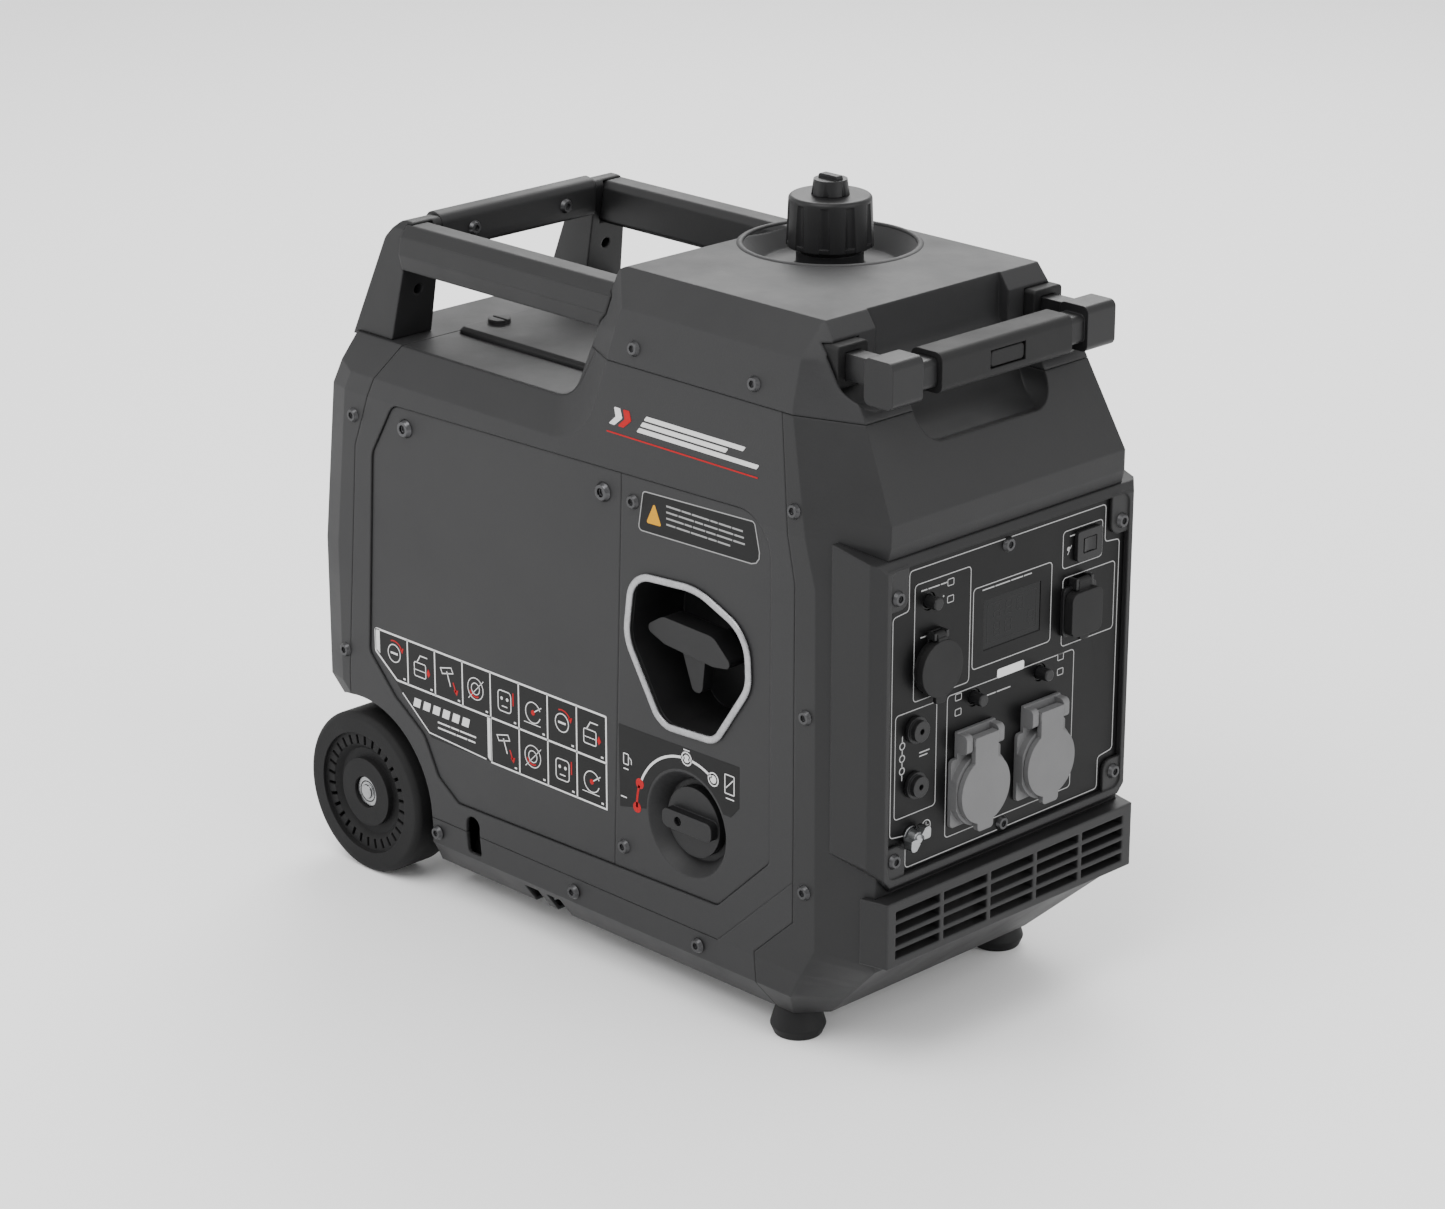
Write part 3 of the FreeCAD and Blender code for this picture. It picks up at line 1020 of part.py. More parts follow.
def rotor():
    """Magnet drum with cooling blades on its front face, turning round the stator."""
    z = CRANK_Z
    drum = cyl(ROTOR_R, ROTOR_X1 - ROTOR_X0, (ROTOR_X0, 0, z), (1, 0, 0))
    drum = drum.cut(cyl(ROTOR_R - 8, ROTOR_X1 - ROTOR_X0 - 6, (ROTOR_X0 - 1, 0, z), (1, 0, 0)))
    hub = cyl(14, 26, (ROTOR_X1 - 22, 0, z), (1, 0, 0))
    blades = []
    for i in range(12):
        blade = box(ROTOR_X1 - 1, ROTOR_X1 + 12, -1.2, 1.2, z + 40, z + ROTOR_R - 2)
        blade.rotate(V(0, 0, z), V(1, 0, 0), 30 * i)
        blades.append(blade)
    body = fuse([drum, hub] + blades)
    return biggest(body.cut(cyl(8.02, 60, (ROTOR_X1 - 40, 0, z), (1, 0, 0))))


def stator():
    z = CRANK_Z
    core = tube(ROTOR_R - 10, 26, 20, (ROTOR_X0 + 2, 0, z), (1, 0, 0))
    slots = []
    for i in range(18):
        slot = box(ROTOR_X0, ROTOR_X0 + 30, -3, 3, z + 38, z + ROTOR_R)
        slot.rotate(V(0, 0, z), V(1, 0, 0), 20 * i)
        slots.append(slot)
    carrier = tube(36, 16, ROTOR_X0 + 3 - ENGINE_X1 - 0.2, (ENGINE_X1 + 0.2, 0, z), (1, 0, 0))
    return biggest(core.cut(Part.makeCompound(slots)).fuse(carrier))


PULLEY_X = GRIP_X


def recoil_pulley():
    z = CRANK_Z
    disc = cyl(PULLEY_R + 3, 10, (PULLEY_X - 5, 0, z), (1, 0, 0))
    groove = tube(PULLEY_R + 10, PULLEY_R - ROPE_R - 0.5, 2 * ROPE_R + 1.4,
                  (PULLEY_X - ROPE_R - 0.7, 0, z), (1, 0, 0))
    return biggest(disc.cut(groove).cut(cyl(6 + SHAFT_FIT, 40, (PULLEY_X - 20, 0, z), (1, 0, 0))))


def recoil_housing():
    """Cover behind the pulley, with its centre post and the rope outlet."""
    z = CRANK_Z
    x1 = PULLEY_X + 22
    cover = tube(80, 66, 30, (PULLEY_X - 9, 0, z), (1, 0, 0))
    back = cyl(80, 4, (x1 - 2, 0, z), (1, 0, 0))
    post = cyl(6, 26, (PULLEY_X - 6, 0, z), (1, 0, 0))
    window = box(PULLEY_X - 8, PULLEY_X + 8, -90, 0, GRIP_Z - 8, GRIP_Z + 8)
    return biggest(fuse([cover, back, post]).cut(window))


def carburettor():
    body = block(-96, -62, -96, -64, 268, 306, 5, "z")
    bowl = cyl(15, 24, (-79, -80, 244), (0, 0, 1))
    pipe = cyl(10, 9, (-79, -63.9, 286), (0, 1, 0))
    return biggest(fuse([body, bowl, pipe]).cut(cyl(8, 60, (-79, -100, 286), (0, 1, 0))))


def air_filter_box():
    shell = block(-168, -62, -132, -98, 240, 350, 10, "y")
    return biggest(shell.cut(block(-165, -65, -129, -101, 243, 347, 8, "y"))
                   .cut(cyl(8, 10, (-79, -104, 286), (0, 1, 0))))


def muffler():
    """Silencer box with a tail pipe that ends inside the rear cover's outlet."""
    y, z = EXHAUST
    can = block(-246, -150, 6, 108, 168, 300, 22, "y")
    can = can.cut(block(-243, -153, 9, 105, 171, 297, 19, "y"))
    pipe = tube(15, 12.5, -242 - TAIL_X, (TAIL_X, y, z), (1, 0, 0))
    can = can.cut(cyl(12.5, 20, (-250, y, z), (1, 0, 0)))
    inlet = tube(13, 10.5, 41.5, (-152, 30, 200), (1, 0, 0))
    return biggest(fuse([can, pipe, inlet]))


def inverter_module():
    base = box(190, 252, -92, 96, 150, 158)
    fins = [box(192 + 7 * i, 194.5 + 7 * i, -90, 94, 157, 196) for i in range(9)]
    return biggest(fuse([base, box(190, 252, -92, 96, 196, 204)] + fins))


# ------------------------------------------------------------------ fasteners
def screw(at, axis, head_r=5.7, head_t=2.8, length=9.0):
    """Pan-head screw: a domed head with a socket, on a short shank."""
    a = V(*axis).normalize()
    p = V(*at)
    head = Part.makeCone(head_r, head_r * 0.72, head_t, p, a)
    shank = Part.makeCylinder(head_r * 0.42, length, p, a * -1)
    socket = Part.makeCylinder(head_r * 0.42, head_t, p + a * (head_t * 0.3), a)
    return head.fuse(shank).cut(socket)


def case_screw_places():
    """Screws of the fixed covers: each a point on the case and its outward axis."""
    lean_axis = (LEAN_Z - SHOULDER_Z + 12, HALF_W - LEAN_HALF)
    places = []
    for side in (-1, 1):
        for x, z in ((-152, 56), (-1, 56), (128, 56), (232, 130), (232, 258),
                     (REAR_X + 32, 176), (REAR_X + 50, 366)):
            places.append(((x, side * HALF_W, z), (0, side, 0)))
        for x, z in ((218, 400), (54, 475), (170, 475)):
            at = (x, side * along(SIDE_PROFILE, z), z)
            places.append((at, (0, side * lean_axis[0], lean_axis[1])))
        for z in (200, 240):
            places.append(((REAR_X, side * 102, z), (-1, 0, 0)))
    places += [((BEZEL_X1 - 1.2, y, z), (1, 0, 0)) for y, z in
               ((-113.5, 351), (113.5, 351), (-113.5, 163), (113.5, 163))]
    places += [((PANEL_FACE, -2, z), (1, 0, 0)) for z in (BEZEL_Z1 - 11, BEZEL_Z0 + 18)]
    places += [((-204, y, 497), (1, 0, 0)) for y in (-45.6, 45.6)]
    places += [((64, SIDE_FACE, 370), (0, -1, 0)), ((52, SIDE_FACE, 108), (0, -1, 0))]
    return places


DOOR_SCREWS = [(-178, 368), (34, 370)]


def door_screws():
    heads = [screw((x, SIDE_FACE - 0.05, z), (0, -1, 0), 7.5, 3.5, 8) for x, z in DOOR_SCREWS]
    return Part.makeCompound(heads)


def shanks(places, radius=2.45, depth=10.0):
    """Clearance holes for the shanks of the screws."""
    holes = []
    for at, axis in places:
        a = V(*axis).normalize()
        holes.append(Part.makeCylinder(radius, depth, V(*at) - a * (depth - 0.5), a))
    return Part.makeCompound(holes)


# ------------------------------------------------------------------ assembly
def build():
    parts = finish_casing(casing())
    parts["intake_grille"] = louvre_grille()
    parts["panel_bezel"] = panel_bezel()
    parts["control_panel"] = control_panel()
    parts["display_window"] = display_window()
    fittings = panel_fittings().Solids
    fittings[1] = biggest(fittings[1].fuse(usb_hinge()))
    parts["panel_fittings"] = Part.makeCompound(fittings + parallel_jacks().Solids)
    for name, (y, z) in (("ac_breaker_1", (SOCKET_Y[0], BREAKER_Z)),
                         ("ac_breaker_2", (SOCKET_Y[1], BREAKER_Z)), ("dc_breaker", DC_BREAKER)):
        parts[name] = breaker_button(y, z)
    parts["eco_rocker"] = eco_rocker()
    parts["usb_cover"] = usb_cover()
    parts["dc_socket"] = dc_socket()
    parts["dc_cap"] = dc_cap()
    parts["ac_sockets"] = Part.makeCompound([ac_socket(y) for y in SOCKET_Y])
    parts["ac_lid_1"], parts["ac_lid_2"] = [ac_lid(y) for y in SOCKET_Y]
    parts["ground_stud"] = ground_stud()
    parts["wing_nut"] = wing_nut()
    parts["service_door"] = door_half(False)
    parts["door_screws"] = door_screws()
    parts["recoil_panel"] = recoil_panel()
    parts["recoil_trim"] = recoil_trim()
    parts["recoil_cup"] = recoil_cup()
    parts["recoil_grip"] = recoil_grip()
    parts["starter_rope"] = starter_rope()
    parts["engine_dial"] = engine_dial()
    parts["handle_uprights"] = Part.makeCompound([upright(-1), upright(1)])
    parts["rear_cross_bar"] = cross_bar()
    parts["side_rails"] = Part.makeCompound([rail(-1), rail(1)])
    parts["top_hatch"] = Part.makeCompound([top_hatch(), hatch_screw()])
    parts["handle_arms"] = handle_arms()
    parts["handle_grip"] = handle_grip()
    parts["handle_button"] = handle_button()
    parts["handle_bushings"] = handle_bushings()
    parts["fuel_tank"] = fuel_tank()
    parts["fuel_cap"] = fuel_cap()
    parts["vent_knob"] = vent_knob()
    parts["wheel_left"], parts["wheel_right"] = wheel(-1), wheel(1)
    parts["axle"] = axle()
    parts["front_feet"] = front_feet()
    parts["engine_block"] = engine_block()
    parts["cylinder_head"] = cylinder_head()
    parts["spark_plug"] = spark_plug()
    parts["crankshaft"] = crankshaft()
    parts["rotor"] = rotor()
    parts["stator"] = stator()
    parts["recoil_pulley"] = recoil_pulley()
    parts["recoil_housing"] = recoil_housing()
    parts["carburettor"] = carburettor()
    parts["air_filter_box"] = air_filter_box()
    parts["muffler"] = muffler()
    parts["inverter_module"] = inverter_module()
    places = case_screw_places()
    parts["case_screws"] = Part.makeCompound([screw(at, axis) for at, axis in places])
    holes = shanks(places)
    for name in ("left_side_cover", "right_side_cover", "front_frame", "base_pan", "rear_cover",
                 "tank_cover", "panel_bezel", "control_panel", "recoil_panel", "rear_cross_bar"):
        parts[name] = biggest(parts[name].cut(holes))
    door_holes = shanks([((x, SIDE_FACE, z), (0, -1, 0)) for x, z in DOOR_SCREWS], 3.3)
    parts["service_door"] = biggest(parts["service_door"].cut(door_holes))
    parts["left_side_cover"] = biggest(parts["left_side_cover"].cut(
        shanks([((x, SIDE_FACE, z), (0, -1, 0)) for x, z in DOOR_SCREWS], 4.0)))
    return parts


def main():
    os.makedirs("parts", exist_ok=True)
    parts = build()
    for name, shape in parts.items():
        shape.exportStep("parts/" + name + ".step")
        print(name, "solids", len(shape.Solids), "cm3", round(shape.Volume / 1000, 1),
              "valid", shape.isValid())
    print(len(parts), "nodes")


main()
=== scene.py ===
"""Looks of a wheeled inverter generator, laid out as an add-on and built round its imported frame.

Metres. +X is the control panel end, -Y the starter side, +Z up.
"""

import math

import bmesh
import bpy
from bpy.props import FloatProperty, FloatVectorProperty, IntProperty, PointerProperty
from mathutils import Matrix, Vector


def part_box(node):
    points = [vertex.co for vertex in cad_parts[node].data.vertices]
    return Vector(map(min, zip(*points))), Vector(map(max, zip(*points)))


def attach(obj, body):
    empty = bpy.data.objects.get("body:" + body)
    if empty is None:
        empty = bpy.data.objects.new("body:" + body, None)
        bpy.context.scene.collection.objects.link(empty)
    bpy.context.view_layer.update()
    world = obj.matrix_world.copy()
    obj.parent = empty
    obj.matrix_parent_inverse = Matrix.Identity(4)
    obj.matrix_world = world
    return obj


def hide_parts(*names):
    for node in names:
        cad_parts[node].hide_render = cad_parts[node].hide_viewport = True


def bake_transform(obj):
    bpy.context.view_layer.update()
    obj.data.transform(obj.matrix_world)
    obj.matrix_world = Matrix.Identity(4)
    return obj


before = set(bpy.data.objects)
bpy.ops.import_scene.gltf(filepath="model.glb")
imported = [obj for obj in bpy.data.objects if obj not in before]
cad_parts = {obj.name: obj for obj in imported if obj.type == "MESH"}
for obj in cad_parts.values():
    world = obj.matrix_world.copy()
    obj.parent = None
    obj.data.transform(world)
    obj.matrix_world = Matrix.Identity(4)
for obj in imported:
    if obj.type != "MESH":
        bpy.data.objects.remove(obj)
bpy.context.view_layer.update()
MM = 0.001

bl_info = {
    "name": "Inverter generator looks",
    "version": (1, 0, 0),
    "blender": (4, 5, 0),
    "location": "View3D > Sidebar > Generator",
    "description": "Builds the looks of a wheeled inverter generator round its packed frame",
    "category": "Object",
}

PANEL_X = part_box("control_panel")[1].x        # printed face of the control panel
DOOR_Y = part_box("service_door")[0].y          # outer face of the flush side panel
CASE = "case"


# ---------------------------------------------------------------- settings
def colour(name, description, default):
    return FloatVectorProperty(name=name, description=description, default=default, size=3,
                               min=0.0, max=1.0, subtype="COLOR")


def length(name, description, default):
    return FloatProperty(name=name, description=description, default=default, min=0.0,
                         precision=5, unit="LENGTH", subtype="DISTANCE")


class FinishSettings(bpy.types.PropertyGroup):
    """Colours and grain of the finishes"""

    case: colour("Case", "Colour of the charcoal case moulding", (0.0165, 0.0165, 0.0172))
    front: colour("Front", "Colour of the darker front mouldings", (0.0115, 0.0115, 0.012))
    dark: colour("Dark parts", "Colour of the black trim mouldings", (0.0075, 0.0075, 0.008))
    panel: colour("Panel", "Colour of the printed plate", (0.0022, 0.0022, 0.0024))
    socket: colour("Sockets", "Colour of the socket mouldings", (0.105, 0.105, 0.107))
    rubber: colour("Rubber", "Colour of tyres, caps and feet", (0.0065, 0.0065, 0.0068))
    ink: colour("Ink", "Colour of the printed lines", (0.55, 0.55, 0.55))
    accent: colour("Accent", "Colour of the red printed marks", (0.34, 0.0, 0.002))
    grain: length("Grain", "Size of the moulded grain", 0.0009)


class DetailSettings(bpy.types.PropertyGroup):
    """Sizes of the printed and raised details"""

    line: length("Print line", "Width of a printed line", 0.0009)
    film: length("Film", "Height of a printed film over its plate", 0.00012)
    rope: length("Rope", "Diameter of the starter rope", 0.0048)
    strands: IntProperty(name="Strands", description="Strands of the rope", default=3, min=2, max=8)
    soft_edge: length("Soft edge", "Radius of the moulded creases", 0.0022)


class StageSettings(bpy.types.PropertyGroup):
    """Camera and light"""

    azimuth: FloatProperty(name="Azimuth", description="Direction of the camera round the machine",
                           default=math.radians(45.44), subtype="ANGLE", unit="ROTATION")
    elevation: FloatProperty(name="Elevation", description="Height of the camera over the horizon",
                             default=math.radians(20.1), subtype="ANGLE", unit="ROTATION")
    lens: FloatProperty(name="Lens", description="Focal length on a 36 mm sensor", default=98.37,
                        min=20.0, subtype="DISTANCE_CAMERA", unit="CAMERA")
    eye: FloatVectorProperty(name="Camera place", description="Where the camera stands",
                             default=(1.942, -1.902, 1.237), size=3, subtype="XYZ", unit="LENGTH")
    key: FloatProperty(name="Key light", description="Power of the large soft key light",
                       default=95.0, min=0.0, subtype="POWER", unit="POWER")
    surround: FloatProperty(name="Surround", description="Strength of the white surround",
                            default=1.2, min=0.0)
    floor: colour("Floor", "Colour of the floor and backdrop", (0.93, 0.93, 0.93))


def finish():
    return bpy.context.scene.generator_finish


def detail():
    return bpy.context.scene.generator_detail


# ---------------------------------------------------------------- shader node groups
def new_group(name, inputs, outputs):
    """Empty shader group with its sockets; each input is (name, type, default)."""
    group = bpy.data.node_groups.new(name, "ShaderNodeTree")
    for socket, kind, default in inputs:
        s = group.interface.new_socket(name=socket, in_out="INPUT", socket_type="NodeSocket" + kind)
        if default is not None:
            s.default_value = default
    for socket, kind in outputs:
        group.interface.new_socket(name=socket, in_out="OUTPUT", socket_type="NodeSocket" + kind)
    return group, group.nodes.new("NodeGroupInput"), group.nodes.new("NodeGroupOutput")


def add(tree, kind, **values):
    node = tree.nodes.new("ShaderNode" + kind)
    for key, value in values.items():
        if hasattr(node, key):
            setattr(node, key, value)
        else:
            node.inputs[key.replace("_", " ")].default_value = value
    return node


def math_node(tree, operation, a, b, clamp=False):
    node = add(tree, "Math", operation=operation, use_clamp=clamp)
    for i, value in enumerate((a, b)):
        if isinstance(value, (int, float)):
            node.inputs[i].default_value = value
        else:
            tree.links.new(value, node.inputs[i])
    return node.outputs[0]


def spread(tree, value, low, high, to_low, to_high):
    node = add(tree, "MapRange")
    tree.links.new(value, node.inputs["Value"])
    for socket, number in (("From Min", low), ("From Max", high)):
        node.inputs[socket].default_value = number
    for socket, number in (("To Min", to_low), ("To Max", to_high)):
        if isinstance(number, (int, float)):
            node.inputs[socket].default_value = number
        else:
            tree.links.new(number, node.inputs[socket])
    return node.outputs[0]


def mix_colour(tree, share, a, b):
    node = add(tree, "Mix", data_type="RGBA")
    for socket, value in ((node.inputs[0], share), (node.inputs[6], a), (node.inputs[7], b)):
        if hasattr(value, "links"):
            tree.links.new(value, socket)
        else:
            socket.default_value = value
    return node.outputs[2]


def noise(tree, place, scale, detail_level=2.0, rough=0.5):
    node = add(tree, "TexNoise", Detail=detail_level, Roughness=rough)
    tree.links.new(place, node.inputs["Vector"])
    if isinstance(scale, (int, float)):
        node.inputs["Scale"].default_value = scale
    else:
        tree.links.new(scale, node.inputs["Scale"])
    return node.outputs[0]


def grain_group():
    """Fine moulded grain with slow cloudiness of colour and gloss."""
    group, inp, out = new_group(
        "Moulded grain",
        [("Color", "Color", (0.05, 0.05, 0.05, 1)), ("Scale", "Float", 1100.0),
         ("Cloud", "Float", 0.12), ("Roughness", "Float", 0.5), ("Spread", "Float", 0.08)],
        [("Color", "Color"), ("Roughness", "Float"), ("Height", "Float")])
    place = add(group, "TexCoord").outputs["Object"]
    fine = noise(group, place, inp.outputs["Scale"], 3.0, 0.6)
    cell = add(group, "TexVoronoi", feature="SMOOTH_F1")
    group.links.new(place, cell.inputs["Vector"])
    group.links.new(math_node(group, "MULTIPLY", inp.outputs["Scale"], 0.8), cell.inputs["Scale"])
    cloud = noise(group, place, 9.0, 4.0, 0.55)
    smear = noise(group, place, 34.0, 3.0, 0.6)
    both = math_node(group, "ADD", math_node(group, "MULTIPLY", cloud, 0.6),
                     math_node(group, "MULTIPLY", smear, 0.4))
    shade = spread(group, both, 0.35, 0.65, math_node(group, "SUBTRACT", 1.0, inp.outputs["Cloud"]),
                   math_node(group, "ADD", 1.0, inp.outputs["Cloud"]))
    speck = spread(group, fine, 0.3, 0.7, 0.94, 1.06)
    tint = add(group, "VectorMath", operation="SCALE")
    group.links.new(inp.outputs["Color"], tint.inputs[0])
    group.links.new(math_node(group, "MULTIPLY", shade, speck), tint.inputs["Scale"])
    group.links.new(tint.outputs[0], out.inputs["Color"])
    wander = spread(group, both, 0.3, 0.7, -1.0, 1.0)
    rough = math_node(group, "ADD", inp.outputs["Roughness"],
                      math_node(group, "MULTIPLY", wander, inp.outputs["Spread"]), True)
    group.links.new(rough, out.inputs["Roughness"])
    height = math_node(group, "ADD", math_node(group, "MULTIPLY", fine, 0.5),
                       math_node(group, "MULTIPLY", cell.outputs["Distance"], 0.5))
    group.links.new(height, out.inputs["Height"])
    return group


def dust_group():
    """A little pale dust on surfaces that face up, in soft patches."""
    group, inp, out = new_group(
        "Settled dust",
        [("Color", "Color", (0.05, 0.05, 0.05, 1)), ("Dust", "Color", (0.2, 0.19, 0.18, 1)),
         ("Amount", "Float", 0.1), ("Roughness", "Float", 0.5)],
        [("Color", "Color"), ("Roughness", "Float")])
    face = add(group, "NewGeometry")
    split = add(group, "SeparateXYZ")
    group.links.new(face.outputs["Normal"], split.inputs[0])
    place = add(group, "TexCoord").outputs["Object"]
    patch = spread(group, noise(group, place, 22.0, 5.0, 0.65), 0.35, 0.75, 0.25, 1.0)
    up = spread(group, split.outputs["Z"], 0.25, 0.95, 0.12, 1.0)
    share = math_node(group, "MULTIPLY", math_node(group, "MULTIPLY", patch, up),
                      inp.outputs["Amount"], True)
    group.links.new(mix_colour(group, share, inp.outputs["Color"], inp.outputs["Dust"]),
                    out.inputs["Color"])
    group.links.new(math_node(group, "ADD", inp.outputs["Roughness"],
                              math_node(group, "MULTIPLY", share, 0.3), True),
                    out.inputs["Roughness"])
    return group


def brushed_group():
    """Drawn or machined metal: fine lines round an axis, with dull patches."""
    group, inp, out = new_group(
        "Worked metal",
        [("Color", "Color", (0.5, 0.5, 0.5, 1)), ("Scale", "Float", 300.0),
         ("Roughness", "Float", 0.3), ("Stretch", "Vector", (1.0, 1.0, 12.0))],
        [("Color", "Color"), ("Roughness", "Float"), ("Height", "Float")])
    place = add(group, "TexCoord").outputs["Object"]
    pull = add(group, "VectorMath", operation="MULTIPLY")
    group.links.new(place, pull.inputs[0])
    group.links.new(inp.outputs["Stretch"], pull.inputs[1])
    line = noise(group, pull.outputs[0], inp.outputs["Scale"], 3.0, 0.6)
    dull = noise(group, place, 60.0, 4.0, 0.6)
    tint = add(group, "VectorMath", operation="SCALE")
    group.links.new(inp.outputs["Color"], tint.inputs[0])
    group.links.new(math_node(group, "MULTIPLY", spread(group, line, 0.3, 0.7, 0.86, 1.1),
                              spread(group, dull, 0.3, 0.7, 0.82, 1.08)), tint.inputs["Scale"])
    group.links.new(tint.outputs[0], out.inputs["Color"])
    rough = math_node(group, "ADD", inp.outputs["Roughness"],
                      spread(group, dull, 0.3, 0.7, -0.08, 0.14), True)
    group.links.new(rough, out.inputs["Roughness"])
    group.links.new(line, out.inputs["Height"])
    return group


GROUPS = {}


def group(kind):
    if kind.__name__ not in GROUPS:
        GROUPS[kind.__name__] = kind()
    return GROUPS[kind.__name__]


# ---------------------------------------------------------------- materials
def blank(name):
    material = bpy.data.materials.new(name)
    material.use_nodes = True
    tree = material.node_tree
    shader = next(n for n in tree.nodes if n.type == "BSDF_PRINCIPLED")
    return material, tree, shader


def use(tree, kind, **values):
    node = tree.nodes.new("ShaderNodeGroup")
    node.node_tree = group(kind)
    for key, value in values.items():
        node.inputs[key].default_value = value
    return node


def bump(tree, shader, height, strength, distance, soft=0.0):
    """Feed a height into the shader's normal, over a crease rounded by the soft radius."""
    node = add(tree, "Bump", Strength=strength, Distance=distance)
    tree.links.new(height, node.inputs["Height"])
    if soft > 0:
        edge = add(tree, "Bevel", samples=4, Radius=soft)
        tree.links.new(edge.outputs[0], node.inputs["Normal"])
    tree.links.new(node.outputs[0], shader.inputs["Normal"])


def moulding(name, base, rough=0.5, grain=None, depth=0.25, dust=0.02, soft=None, level=0.24,
             cloud=0.1):
    """Moulded plastic or rubber."""
    material, tree, shader = blank(name)
    scale = 1.0 / (grain or finish().grain)
    skin = use(tree, grain_group, Color=(*base, 1), Scale=scale, Cloud=cloud, Roughness=rough)
    film = use(tree, dust_group, Amount=dust)
    tree.links.new(skin.outputs["Color"], film.inputs["Color"])
    tree.links.new(skin.outputs["Roughness"], film.inputs["Roughness"])
    tree.links.new(film.outputs["Color"], shader.inputs["Base Color"])
    tree.links.new(film.outputs["Roughness"], shader.inputs["Roughness"])
    shader.inputs["Specular IOR Level"].default_value = level
    bump(tree, shader, skin.outputs["Height"], depth, 0.0003,
         detail().soft_edge if soft is None else soft)
    return material


def metal(name, base, rough=0.3, scale=300.0, stretch=(1, 1, 12), depth=0.1, soft=0.0004,
          metallic=1.0):
    material, tree, shader = blank(name)
    skin = use(tree, brushed_group, Color=(*base, 1), Scale=scale, Roughness=rough, Stretch=stretch)
    tree.links.new(skin.outputs["Color"], shader.inputs["Base Color"])
    tree.links.new(skin.outputs["Roughness"], shader.inputs["Roughness"])
    shader.inputs["Metallic"].default_value = metallic
    bump(tree, shader, skin.outputs["Height"], depth, 0.0002, soft)
    return material


def ink(name, base, rough=0.45):
    """Screen print or label film."""
    material, tree, shader = blank(name)
    skin = use(tree, grain_group, Color=(*base, 1), Scale=2600.0, Cloud=0.04, Roughness=rough,
               Spread=0.05)
    tree.links.new(skin.outputs["Color"], shader.inputs["Base Color"])
    tree.links.new(skin.outputs["Roughness"], shader.inputs["Roughness"])
    shader.inputs["Specular IOR Level"].default_value = 0.16
    bump(tree, shader, skin.outputs["Height"], 0.08, 0.0001)
    return material


def lens_material():
    """Dark smoked display lens: glossy and nearly opaque."""
    material, tree, shader = blank("Display lens")
    skin = use(tree, grain_group, Color=(0.0028, 0.003, 0.0033, 1), Scale=500.0, Cloud=0.2,
               Roughness=0.22, Spread=0.04)
    tree.links.new(skin.outputs["Color"], shader.inputs["Base Color"])
    tree.links.new(skin.outputs["Roughness"], shader.inputs["Roughness"])
    shader.inputs["Specular IOR Level"].default_value = 0.12
    shader.inputs["Coat Weight"].default_value = 0.06
    shader.inputs["Coat Roughness"].default_value = 0.12
    return material


MATERIALS = {}


